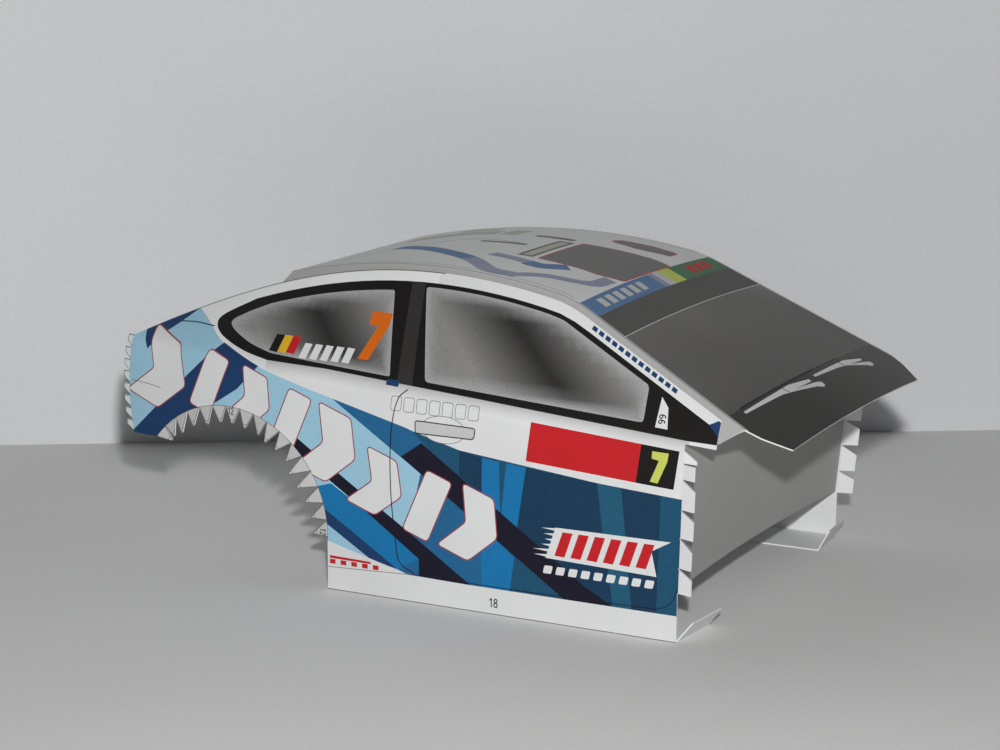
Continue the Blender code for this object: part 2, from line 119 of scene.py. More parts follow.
class NodeSheet:
    """A material's node tree, with short ways to add and join its nodes."""

    def __init__(self, name: str) -> None:
        """Start a material with its Principled shader.

        Args:
            name: Name of the material.
        """
        self.material = bpy.data.materials.new(name)
        self.material.use_nodes = True
        self.tree = self.material.node_tree
        self.shader = self.tree.nodes["Principled BSDF"]
        self.place = self.tree.nodes.new("ShaderNodeTexCoord").outputs["Object"]

    def link(self, source: Socket, target: Socket) -> None:
        """Join an output to an input."""
        self.tree.links.new(source, target)

    def noise(self, scale: float, detail: float = 3.0) -> Socket:
        """Noise over the piece's own coordinates.

        Args:
            scale: Cells for each metre.
            detail: Octaves of the noise.

        Returns:
            The noise's value.
        """
        noise = self.tree.nodes.new("ShaderNodeTexNoise")
        noise.inputs["Scale"].default_value = scale
        noise.inputs["Detail"].default_value = detail
        self.link(self.place, noise.inputs["Vector"])
        return noise.outputs["Fac"]

    def span(self, value: Socket, source: Point, target: Point) -> Socket:
        """Map a value from one range to another, clamped.

        Args:
            value: The value to map.
            source: Range that the value runs over.
            target: Range of the result.

        Returns:
            The mapped value.
        """
        node = self.tree.nodes.new("ShaderNodeMapRange")
        self.link(value, node.inputs["Value"])
        node.inputs["From Min"].default_value, node.inputs["From Max"].default_value = source
        node.inputs["To Min"].default_value, node.inputs["To Max"].default_value = target
        return node.outputs["Result"]

    def math(
        self,
        operation: str,
        first: Socket,
        second: "Socket | float",
    ) -> Socket:
        """Result of one operation on two values.

        Args:
            operation: Name of the Math node's operation.
            first: First value.
            second: Second value, a socket or a number.

        Returns:
            The result.
        """
        node = self.tree.nodes.new("ShaderNodeMath")
        node.operation = operation
        self.link(first, node.inputs[0])
        if isinstance(second, (int, float)):
            node.inputs[1].default_value = second
        else:
            self.link(second, node.inputs[1])
        return node.outputs["Value"]

    def mix(
        self,
        share: Socket,
        low: "Socket | Colour",
        high: "Socket | Colour",
    ) -> Socket:
        """Mix of two colours.

        Args:
            share: Share of the second colour.
            low: Colour at share 0.
            high: Colour at share 1.

        Returns:
            The mixed colour.
        """
        node = self.tree.nodes.new("ShaderNodeMix")
        node.data_type = "RGBA"
        self.link(share, node.inputs["Factor"])
        for colour, socket in ((low, node.inputs[6]), (high, node.inputs[7])):
            if isinstance(colour, tuple):
                socket.default_value = (*colour, 1.0)
            else:
                self.link(colour, socket)
        return node.outputs[2]

    def axes(self) -> "bpy.types.bpy_prop_collection":
        """The piece's coordinates, split.

        Returns:
            The sockets X, Y and Z.
        """
        node = self.tree.nodes.new("ShaderNodeSeparateXYZ")
        self.link(self.place, node.inputs["Vector"])
        return node.outputs

    def attribute(self, name: str) -> Socket:
        """A value that the mesh carries on its points.

        Args:
            name: Name of the mesh's attribute.

        Returns:
            The value.
        """
        node = self.tree.nodes.new("ShaderNodeAttribute")
        node.attribute_name = name
        return node.outputs["Fac"]

    def relief(self, height: Socket, depth: float, strength: float) -> None:
        """Bump from a height.

        Args:
            height: The height, from 0 to 1.
            depth: Depth of the relief in metres.
            strength: Strength of the bump.
        """
        bump = self.tree.nodes.new("ShaderNodeBump")
        bump.inputs["Distance"].default_value = depth
        bump.inputs["Strength"].default_value = strength
        self.link(height, bump.inputs["Height"])
        self.link(bump.outputs["Normal"], self.shader.inputs["Normal"])


@dataclass(frozen=True)
class CardFinish:
    """Card or ink on it: its colour, how much the ink mottles, and the paper's grain below.

    Attributes:
        colour: Linear red, green and blue.
        mottle: Share by which the colour changes from dot to dot.
        roughness: Roughness of the surface.
        dots_per_metre: Scale of the printer's dots.
        grain_per_metre: Scale of the paper's grain.
        grain_depth: Depth of the paper's grain in metres.
        grain_strength: Strength of the grain's bump.
        cloud_per_metre: Scale of the wide clouds in the ink.
        cloud: Share by which the colour changes from cloud to cloud.
        specular: Strength of the shine.
    """

    colour: Colour
    mottle: float = 0.10
    roughness: float = 0.55
    dots_per_metre: float = 5200.0
    grain_per_metre: float = 1500.0
    grain_depth: float = 0.00001
    grain_strength: float = 0.5
    cloud_per_metre: float = 45.0
    cloud: float = 0.035
    specular: float = 0.2

    def tint(self, sheet: NodeSheet) -> Socket:
        """Colour of the surface, before dots and clouds.

        Args:
            sheet: Node tree of the material.

        Returns:
            The colour.
        """
        rgb = sheet.tree.nodes.new("ShaderNodeRGB")
        rgb.outputs[0].default_value = (*self.colour, 1.0)
        return rgb.outputs[0]

    def speckle(self, sheet: NodeSheet) -> Socket:
        """Brightness of the printer's dots and of the wide clouds in the ink.

        Args:
            sheet: Node tree of the material.

        Returns:
            The factor on the colour.
        """
        dots = sheet.noise(self.dots_per_metre, detail=2.0)
        dots = sheet.span(dots, NOISE_SPAN, (1 - self.mottle, 1 + self.mottle))
        clouds = sheet.noise(self.cloud_per_metre)
        clouds = sheet.span(clouds, NOISE_SPAN, (1 - self.cloud, 1 + self.cloud))
        return sheet.math("MULTIPLY", dots, clouds)

    def make(self, name: str) -> bpy.types.Material:
        """Material of this finish.

        Args:
            name: Name of the material.

        Returns:
            The material.
        """
        sheet = NodeSheet(name)
        scaled = sheet.tree.nodes.new("ShaderNodeVectorMath")
        scaled.operation = "SCALE"
        sheet.link(self.tint(sheet), scaled.inputs[0])
        sheet.link(self.speckle(sheet), scaled.inputs["Scale"])
        sheet.link(scaled.outputs["Vector"], sheet.shader.inputs["Base Color"])
        sheet.shader.inputs["Roughness"].default_value = self.roughness
        sheet.shader.inputs["Specular IOR Level"].default_value = self.specular
        grain = sheet.noise(self.grain_per_metre, detail=4.0)
        sheet.relief(grain, self.grain_depth, self.grain_strength)
        return sheet.material


@dataclass(frozen=True)
class GlassPrintFinish(CardFinish):
    """Printed window glass: grey with pale rims and dark streaks that lean back.

    Attributes:
        rim: Colour at the edge of the glass.
        dark: Colour in the middle of the streak.
        streaks: Place of each streak's middle along the car, in metres from the doors' front edge.
        reach: Half width of a streak, in metres.
        lean: Run of the streak towards the front for each metre of fall.
        fall: Power by which the grey pales away from a streak.
        streak_level: Height at which the streaks' places are given, in metres.
    """

    rim: Colour = (0.42, 0.42, 0.42)
    dark: Colour = (0.030, 0.029, 0.028)
    streaks: tuple[float, ...] = (-0.0855, -0.0354)
    reach: float = 0.018
    lean: float = 1.12
    fall: float = 1.35
    streak_level: float = 0.055

    def tint(self, sheet: NodeSheet) -> Socket:
        """Grey that darkens into the streaks and pales towards the rim of the glass.

        Args:
            sheet: Node tree of the material.

        Returns:
            The colour.
        """
        axes = sheet.axes()
        sloped = sheet.math("MULTIPLY", sheet.math("SUBTRACT", axes["Z"], self.streak_level), self.lean)
        along = sheet.math("ADD", axes["X"], sloped)
        light: Optional[Socket] = None
        for streak in self.streaks:
            away = sheet.math("ABSOLUTE", sheet.math("SUBTRACT", along, streak + door_edge()), 0.0)
            share = sheet.span(away, (0.0, self.reach), (0.0, 1.0))
            light = share if light is None else sheet.math("MINIMUM", light, share)
        body = sheet.mix(sheet.math("POWER", light, self.fall), self.dark, self.colour)
        return sheet.mix(sheet.attribute("rim"), body, self.rim)


@dataclass(frozen=True)
class ScreenPrintFinish(CardFinish):
    """Printed windscreen: dark grey at its top, then lighter and darkening to the scuttle.

    Attributes:
        bright: Colour right below the fine line, where the print is lightest.
        dull: Colour right below the fine line, where the print is darkest.
        foot: Colour at the scuttle on the right of the car.
        far_foot: Colour at the scuttle on the left of the car.
        stations: Places along the car of the fine line, from and to, and of the scuttle, in metres.
        reach: Places across the car where the foot's two colours are reached, in metres.
        haze_per_metre: Soft light patches in a metre.
        haze_span: Values of the haze's noise at its darkest and its lightest.
    """

    bright: Colour = (0.245, 0.240, 0.229)
    dull: Colour = (0.155, 0.152, 0.144)
    foot: Colour = (0.100, 0.097, 0.092)
    far_foot: Colour = (0.138, 0.135, 0.129)
    stations: tuple[float, float, float] = (-0.0174, -0.0168, 0.0080)
    reach: Point = (-0.030, 0.030)
    haze_per_metre: float = 24.0
    haze_span: Point = (0.36, 0.64)

    def tint(self, sheet: NodeSheet) -> Socket:
        """Grey that changes along the car, with soft lighter patches.

        Args:
            sheet: Node tree of the material.

        Returns:
            The colour.
        """
        edge = door_edge()
        top, band, end = (place + edge for place in self.stations)
        axes = sheet.axes()
        haze = sheet.span(sheet.noise(self.haze_per_metre, detail=0.0), self.haze_span, (0.0, 1.0))
        lower = sheet.mix(sheet.span(axes["Y"], self.reach, (0.0, 1.0)), self.foot, self.far_foot)
        upper = sheet.mix(sheet.span(axes["X"], (top, band), (0.0, 1.0)), self.colour,
                          sheet.mix(haze, self.dull, self.bright))
        return sheet.mix(sheet.span(axes["X"], (band, end), (0.0, 1.0)), upper, lower)


@dataclass(frozen=True)
class ScuttlePrintFinish(CardFinish):
    """Printed scuttle in front of the windscreen: dark on the right of the car, lighter on its left.

    Attributes:
        far: Colour on the left of the car.
        reach: Places across the car where the two colours are reached, in metres.
    """

    far: Colour = (0.098, 0.095, 0.090)
    reach: Point = (-0.012, 0.036)

    def tint(self, sheet: NodeSheet) -> Socket:
        """Grey that changes across the car."""
        return sheet.mix(sheet.span(sheet.axes()["Y"], self.reach, (0.0, 1.0)), self.colour, self.far)


@dataclass(frozen=True)
class BeltShadeFinish(CardFinish):
    """Soft grey under the windows, where the body turns outwards: partly print, partly painted shade of that
    turn.

    Attributes:
        shade: Colour right under the windows.
    """

    shade: Colour = (0.50, 0.50, 0.50)

    def tint(self, sheet: NodeSheet) -> Socket:
        """White that darkens upwards to the windows."""
        return sheet.mix(sheet.attribute("rim"), self.colour, self.shade)


FINISHES: dict[Ink, CardFinish] = {
    Ink.LIGHT_BLUE: CardFinish((0.350, 0.605, 0.755), mottle=0.07),
    Ink.NAVY: CardFinish((0.013, 0.050, 0.145), mottle=0.22),
    Ink.MID_BLUE: CardFinish((0.010, 0.185, 0.440), mottle=0.14),
    Ink.BRIGHT_TEAL: CardFinish((0.018, 0.135, 0.300), mottle=0.15),
    Ink.FRONT_TEAL: CardFinish((0.016, 0.105, 0.185), mottle=0.18),
    Ink.TEAL: CardFinish((0.013, 0.085, 0.165), mottle=0.20),
    Ink.DEEP_TEAL: CardFinish((0.009, 0.044, 0.098), mottle=0.22),
    Ink.NIGHT: CardFinish((0.010, 0.009, 0.022), mottle=0.25),
    Ink.BLACK: CardFinish((0.011, 0.0095, 0.009), mottle=0.25),
    Ink.FRAME_GREY: CardFinish((0.036, 0.034, 0.032), mottle=0.20),
    Ink.LINE_GREY: CardFinish((0.14, 0.14, 0.145), mottle=0.15),
    # Also used as painted shade over the arch's teeth
    Ink.PALE_GREY: CardFinish((0.60, 0.60, 0.59), mottle=0.05),
    Ink.MAROON: CardFinish((0.33, 0.045, 0.075), mottle=0.12),
    Ink.RED: CardFinish((0.58, 0.016, 0.022), mottle=0.10),
    Ink.ORANGE: CardFinish((0.72, 0.150, 0.010), mottle=0.10),
    Ink.YELLOW: CardFinish((0.80, 0.48, 0.03), mottle=0.10),
    Ink.LIME: CardFinish((0.60, 0.66, 0.13), mottle=0.10),
    Ink.GREEN: CardFinish((0.07, 0.20, 0.11), mottle=0.18),
    Ink.STRIP_BLUE: CardFinish((0.10, 0.21, 0.40), mottle=0.14),
    Ink.MAUVE: CardFinish((0.30, 0.33, 0.46), mottle=0.12),
    Ink.OLIVE: CardFinish((0.50, 0.52, 0.43), mottle=0.08),
    Ink.HATCH: CardFinish((0.165, 0.163, 0.155), mottle=0.18, specular=0.4),
    Ink.WINDOW: GlassPrintFinish((0.270, 0.267, 0.262), mottle=0.22),
    Ink.SCREEN: ScreenPrintFinish((0.088, 0.085, 0.080), mottle=0.18, specular=0.3),
    Ink.SCUTTLE: ScuttlePrintFinish((0.034, 0.032, 0.029), mottle=0.2, specular=0.3),
    Ink.BELT_SHADE: BeltShadeFinish((0.79, 0.80, 0.795), mottle=0.03),
    # Card darkened with painted shade, for the bulkhead and the roof's flanges
    Ink.SHADED_CARD: CardFinish((0.44, 0.44, 0.43), mottle=0.03, roughness=0.75, cloud=0.02),
    Ink.WHITE: CardFinish((0.77, 0.78, 0.775), mottle=0.02, roughness=0.6),
    # Unprinted card: the card's own white, raised above the printed white as painted light, so that inner
    # faces, cut edges, flaps and bare strips come out brighter
    Ink.CARD: CardFinish((0.86, 0.87, 0.865), mottle=0.03, roughness=0.75, cloud=0.02),
}


def all_materials() -> list[bpy.types.Material]:
    """Materials of every finish, made once.

    Returns:
        The materials, in the order of Ink.
    """
    materials = []
    for ink in Ink:
        found = bpy.data.materials.get("card_" + ink.value)
        materials.append(found or FINISHES[ink].make("card_" + ink.value))
    return materials


def slot_of(ink: Ink) -> int:
    """Number of a finish's material slot."""
    return list(Ink).index(ink)


# Shape of the body

@dataclass(frozen=True)
class BodyShape:
    """The bent body's surfaces and edges, as functions of the place along the car.

    Attributes:
        card: Thickness of the card.
        glue_gap: Gap between two glued sheets.
        hinge_gap: Gap between a sill flap and its side sheet.
        sill_half_width: Half width of the car at the sills.
        tail_x: Place of the sides' rear edge at its middle.
        tail_bow: How far the rear edge's two ends lie ahead of its middle.
        tail_tuck: Half width lost between the arch's front end and the tail.
        tail_foot_z: Height of the rear edge's lower end.
        belt_z: Height of the crease under the windows at the doors' front edge.
        belt_fall: Fall of that crease for each millimetre forward.
        belt_round: Size of the round along that crease.
        nose_x: Place of the sides' foremost corner, at the pillars' feet.
        upper_lean: Half width lost for each millimetre of rise above that crease, at the windscreen.
        upper_lean_at_tail: The same at the tail.
        front_foot_x: Place of the sides' front edge at its foot.
        front_lean_right: Forward run of the right front edge for each millimetre of rise.
        front_lean_left: The same on the left.
        front_lean_start_z: Height from which the front edges lean.
        arch_x: Place of the wheel arch's centre.
        arch_z: Height of the wheel arch's centre.
        arch_radius: Radius of the wheel arch's fold.
        roof_top_z: Height of the roof's crease at its highest place.
        roof_top_x: Where the roof's crease is highest.
        roof_rear_x: Place of the roof's rear end.
        roof_rear_z: Height of the roof's crease there.
        header_x: Place of the corner between roof and windscreen.
        header_z: Height of that corner before it is rounded.
        header_round: Half length of the round there.
        screen_slope: Fall of the windscreen for each millimetre forward.
        roof_crown: Height of the roof's middle above its creases.
        crown_run: Length from the roof's rear end over which the crown rises.
        flange_show: Height of the roof's flange that shows over a side sheet.
    """

    card: float = 0.3
    glue_gap: float = 0.35
    hinge_gap: float = 0.3
    sill_half_width: float = 47.2
    tail_x: float = -135.5
    tail_bow: float = 1.1
    tail_tuck: float = 4.2
    tail_foot_z: float = 28.0
    belt_z: float = 41.3
    belt_fall: float = 0.0645
    belt_round: float = 1.3
    nose_x: float = 7.2
    upper_lean: float = 0.52
    upper_lean_at_tail: float = 1.48
    front_foot_x: float = -0.3
    front_lean_right: float = 0.027
    front_lean_left: float = 0.089
    front_lean_start_z: float = 10.7
    arch_x: float = -107.7
    arch_z: float = 11.5
    arch_radius: float = 25.85
    roof_top_z: float = 69.75
    roof_top_x: float = -63.0
    roof_rear_x: float = -101.2
    roof_rear_z: float = 65.2
    header_x: float = -30.0
    header_z: float = 66.0
    header_round: float = 4.0
    screen_slope: float = 0.5
    roof_crown: float = 1.0
    crown_run: float = 30.0
    flange_show: float = 1.1

    @property
    def arch_front_x(self) -> float:
        """Front end of the wheel arch, where the sill begins."""
        return self.arch_x + self.arch_radius

    def belt_height(self, x: float) -> float:
        """Height of the crease under the windows."""
        return self.belt_z - self.belt_fall * x

    def plan_half_width(self, x: float) -> float:
        """Half width of a side below the crease, tucked in towards the tail."""
        run = (self.arch_front_x - x) / (self.arch_front_x - self.tail_x)
        return self.sill_half_width - self.tail_tuck * min(max(run, 0.0), 1.0) ** 2

    def lean(self, x: float) -> float:
        """Lean of the side above the crease: width lost for each millimetre of rise."""
        share = min(x - self.header_x, 0.0) / (self.tail_x - self.header_x)
        return self.upper_lean + (self.upper_lean_at_tail - self.upper_lean) * share ** 2

    def half_width(self, x: float, z: float) -> float:
        """Half width of a side's outer face, its crease rounded as bent card is.

        Args:
            x: Place along the car.
            z: Height.

        Returns:
            The half width.
        """
        rise = z - self.belt_height(x)
        rounded_rise = (rise + math.hypot(rise, self.belt_round)) / 2
        return self.plan_half_width(x) - rounded_rise * self.lean(x)

    def front_lean(self, share: float) -> float:
        """Lean of the front edge, from share -1 on the right to 1 on the left."""
        return self.front_lean_right + (self.front_lean_left - self.front_lean_right) * (share + 1) / 2

    def front_edge(self, share: float, z: float) -> float:
        """Place of the front edge at a height."""
        return self.front_foot_x + self.front_lean(share) * max(z - self.front_lean_start_z, 0.0)

    def tail_edge(self, z: float) -> float:
        """Place of the rear edge, which bows towards the tail at mid height."""
        half = (self.belt_height(self.tail_x) - self.tail_foot_z) / 2
        return self.tail_x + self.tail_bow * ((z - self.tail_foot_z - half) / half) ** 2

    def roof_line(self, x: float) -> float:
        """Height of the crease along the edge of the roof and windscreen sheet.

        Args:
            x: Place along the car.

        Returns:
            The height.
        """
        run = self.roof_top_x - self.header_x
        fall_ahead = (self.roof_top_z - self.header_z) / run ** 2
        fall_behind = (self.roof_top_z - self.roof_rear_z) / (self.roof_top_x - self.roof_rear_x) ** 2
        slope = 2 * fall_ahead * run
        into_round = x - (self.header_x - self.header_round)
        if x < self.roof_top_x:
            return self.roof_top_z - fall_behind * (x - self.roof_top_x) ** 2
        if into_round < 0:
            return self.roof_top_z - fall_ahead * (x - self.roof_top_x) ** 2
        start = self.header_z - slope * self.header_round
        turn = -self.screen_slope - slope
        if into_round < 2 * self.header_round:
            return start + slope * into_round + turn * into_round ** 2 / (4 * self.header_round)
        end = start + (slope - self.screen_slope) * self.header_round
        return end - self.screen_slope * (into_round - 2 * self.header_round)

    def side_top(self, x: float) -> float:
        """Height of the top edge of a side sheet.

        Args:
            x: Place along the car.

        Returns:
            The height.
        """
        if x > self.roof_top_x:
            return self.roof_line(x) - self.flange_show
        top = self.roof_top_z - self.flange_show
        share = (x - self.roof_top_x) / (self.tail_x + self.tail_bow - self.roof_top_x)
        return top - (top - self.belt_height(self.tail_x)) * share ** 2

    def seat(self, x: float) -> float:
        """Sideways distance from a side's outer face to a flange glued inside it."""
        return (self.card + self.glue_gap) * math.hypot(1.0, self.lean(x))

    def roof_half_width(self, x: float) -> float:
        """Half width of the roof and windscreen sheet at its creases."""
        return self.half_width(x, self.roof_line(x)) - self.seat(x)

    def crown(self, x: float) -> float:
        """Height of the middle of the roof above its creases."""
        run = min(max((x - self.roof_rear_x) / self.crown_run, 0.0), 1.0)
        return self.roof_crown * run * run * (3 - 2 * run)


BODY = BodyShape()


# Drawing on flat card

@dataclass(frozen=True)
class PrintedShape:
    """One shape of ink on a flat sheet.

    Attributes:
        ink: Its finish.
        outline: Its corners on the flat sheet.
    """

    ink: Ink
    outline: Outline


def signed_area(outline: Outline) -> float:
    """Area of an outline, above 0 where it runs anticlockwise."""
    pairs = zip(outline, [*outline[1:], outline[0]])
    return sum(a[0] * b[1] - b[0] * a[1] for a, b in pairs) / 2


def anticlockwise(outline: Outline) -> list[Point]:
    """The outline, turned round if it runs clockwise."""
    points = list(outline)
    return points if signed_area(points) > 0 else points[::-1]


def box_outline(x: float, z: float, width: float, height: float) -> list[Point]:
    """Upright rectangle from its lower rear corner."""
    return [(x, z), (x + width, z), (x + width, z + height), (x, z + height)]


def ellipse(x: float, z: float, wide: float, high: float, steps: int = 28) -> list[Point]:
    """Ellipse from its middle and half axes."""
    angles = [2 * math.pi * step / steps for step in range(steps)]
    return [(x + wide * math.cos(angle), z + high * math.sin(angle)) for angle in angles]


def evenly(start: float, end: float, steps: int) -> list[float]:
    """Values from start to end in equal steps, with both ends."""
    return [start + (end - start) * step / steps for step in range(steps + 1)]


def in_row(outline: Outline, first: Point, step: Point, count: int) -> list[list[Point]]:
    """Copies of an outline in a row.

    Args:
        outline: The outline.
        first: Move from the outline to the first copy.
        step: Move from each copy to the next.
        count: Number of copies.

    Returns:
        The outlines of the copies.
    """
    moves = [(first[0] + index * step[0], first[1] + index * step[1]) for index in range(count)]
    return [[(along + x, up + z) for x, z in outline] for along, up in moves]


def rounded(outline: Outline, radius: float, steps: int = 4, most: float = 0.45) -> list[Point]:
    """Outline with each corner rounded.

    Args:
        outline: The corners.
        radius: Length cut from each edge at a corner.
        steps: Short edges that make a round.
        most: Largest share of an edge that is cut at one corner.

    Returns:
        The points of the rounded outline.
    """
    points = [Vector(point) for point in outline]
    result: list[Point] = []
    for before, corner, after in zip([points[-1], *points[:-1]], points, [*points[1:], points[0]]):
        back = min(radius, (before - corner).length * most)
        ahead = min(radius, (after - corner).length * most)
        start = corner + (before - corner).normalized() * back
        end = corner + (after - corner).normalized() * ahead
        for step in range(steps + 1):
            t = step / steps
            place = start * (1 - t) ** 2 + corner * 2 * t * (1 - t) + end * t ** 2
            result.append((place.x, place.y))
    return result


def smooth_path(points: Outline, steps: int = 5) -> list[Point]:
    """Smooth open curve through a few points.

    Args:
        points: The points that it runs through.
        steps: Short edges from one of them to the next.

    Returns:
        The points of the curve.
    """
    knots = [Vector(point) for point in points]
    padded = [2 * knots[0] - knots[1], *knots, 2 * knots[-1] - knots[-2]]
    path: list[Point] = []
    for a, b, c, d in zip(padded, padded[1:], padded[2:], padded[3:]):
        for step in range(steps):
            t = step / steps
            place = 0.5 * (2 * b + (c - a) * t + (2 * a - 5 * b + 4 * c - d) * t ** 2)
            place += 0.5 * (3 * b - a - 3 * c + d) * t ** 3
            path.append((place.x, place.y))
    path.append((knots[-1].x, knots[-1].y))
    return path


def stroke(ink: Ink, path: Outline, width: float) -> list[PrintedShape]:
    """A drawn line, as one short band for each of its steps.

    Args:
        ink: Ink of the line.
        path: Points along the line's middle.
        width: Width of the line.

    Returns:
        The bands.
    """
    bands = []
    for start, end in zip(path[:-1], path[1:]):
        a, b = Vector(start), Vector(end)
        run = (b - a).normalized() * width / 2
        side = Vector((-run.y, run.x))
        overlap = run * 0.5
        corners = (a - overlap - side, b + overlap - side, b + overlap + side, a - overlap + side)
        bands.append(PrintedShape(ink, [(corner.x, corner.y) for corner in corners]))
    return bands


def closed(path: Outline) -> list[Point]:
    """A path with its first point again at its end."""
    return [*path, path[0]]


def divided(outline: Outline, pitch: float) -> list[Point]:
    """Closed outline with extra points on its long edges.

    Args:
        outline: The corners.
        pitch: Longest edge that the result may have.

    Returns:
        The corners and the extra points.
    """
    points: list[Point] = []
    for start, end in zip(outline, [*outline[1:], outline[0]]):
        steps = max(math.ceil(math.dist(start, end) / pitch), 1)
        xs, zs = (evenly(low, high, steps) for low, high in zip(start, end))
        points += list(zip(xs, zs))[:-1]
    return points


def turned(outline: Outline, middle: Point, degrees: float) -> list[Point]:
    """Outline turned about a point.

    Args:
        outline: The outline.
        middle: The point.
        degrees: Angle of the turn.

    Returns:
        The turned outline.
    """
    angle = math.radians(degrees)
    c, s = math.cos(angle), math.sin(angle)
    return [
        (middle[0] + (x - middle[0]) * c - (z - middle[1]) * s,
         middle[1] + (x - middle[0]) * s + (z - middle[1]) * c)
        for x, z in outline
    ]


# Strokes of the plain numbers, in a cell 1 wide and 2 high
DIGIT_STROKES: dict[str, tuple[Outline, ...]] = {
    "1": (((0.15, 1.55), (0.6, 2.0), (0.6, 0.0)),),
    "2": (
        ((0.02, 1.5), (0.2, 1.9), (0.55, 2.0), (0.9, 1.8), (0.95, 1.4), (0.7, 0.95), (0.25, 0.5), (0.02, 0.0),
         (1.0, 0.0)),
    ),
    "8": (
        ((0.5, 1.05), (0.12, 1.25), (0.08, 1.65), (0.3, 1.95), (0.7, 1.95), (0.92, 1.65), (0.88, 1.25),
         (0.5, 1.05)),
        ((0.5, 1.05), (0.05, 0.8), (0.0, 0.35), (0.25, 0.03), (0.75, 0.03), (1.0, 0.35), (0.95, 0.8),
         (0.5, 1.05)),
    ),
    "9": (
        ((0.95, 1.4), (0.75, 1.0), (0.3, 0.98), (0.05, 1.35), (0.1, 1.8), (0.5, 2.0), (0.88, 1.82),
         (0.98, 1.3), (0.85, 0.5), (0.6, 0.08), (0.15, 0.1)),
    ),
}


@dataclass(frozen=True)
class Number:
    """A plain printed number.

    Attributes:
        digits: The digits.
        ink: Their ink.
        middle: Middle of the number.
        height: Height of a digit.
        width: Width of a line.
        turn: Turn of the number in degrees.
        narrow: Width of a digit for each millimetre of half its height.
        spacing: Gap between two digits for each millimetre of a digit's width.
    """

    digits: str
    ink: Ink
    middle: Point
    height: float
    width: float
    turn: float = 0.0
    narrow: float = 1.0
    spacing: float = 0.4

    def shapes(self, reading: int) -> list[PrintedShape]:
        """Strokes of the number.

        Args:
            reading: 1 where X runs to the reader's right, and -1 where it runs to the left.

        Returns:
            The shapes of ink.
        """
        unit = self.height / 2
        cell = unit * self.narrow
        gap = cell * self.spacing
        total = len(self.digits) * cell + (len(self.digits) - 1) * gap
        result = []
        for place, digit in enumerate(self.digits):
            left = place * (cell + gap) - total / 2
            for line in DIGIT_STROKES[digit]:
                path = [(self.middle[0] + left + u * cell, self.middle[1] + (v - 1) * unit) for u, v in line]
                path = turned(path, self.middle, self.turn)
                path = [(self.middle[0] + reading * (x - self.middle[0]), z) for x, z in path]
                result += stroke(self.ink, path, self.width)
        return result


# Card

Bend = Callable[[float, float], Vector]


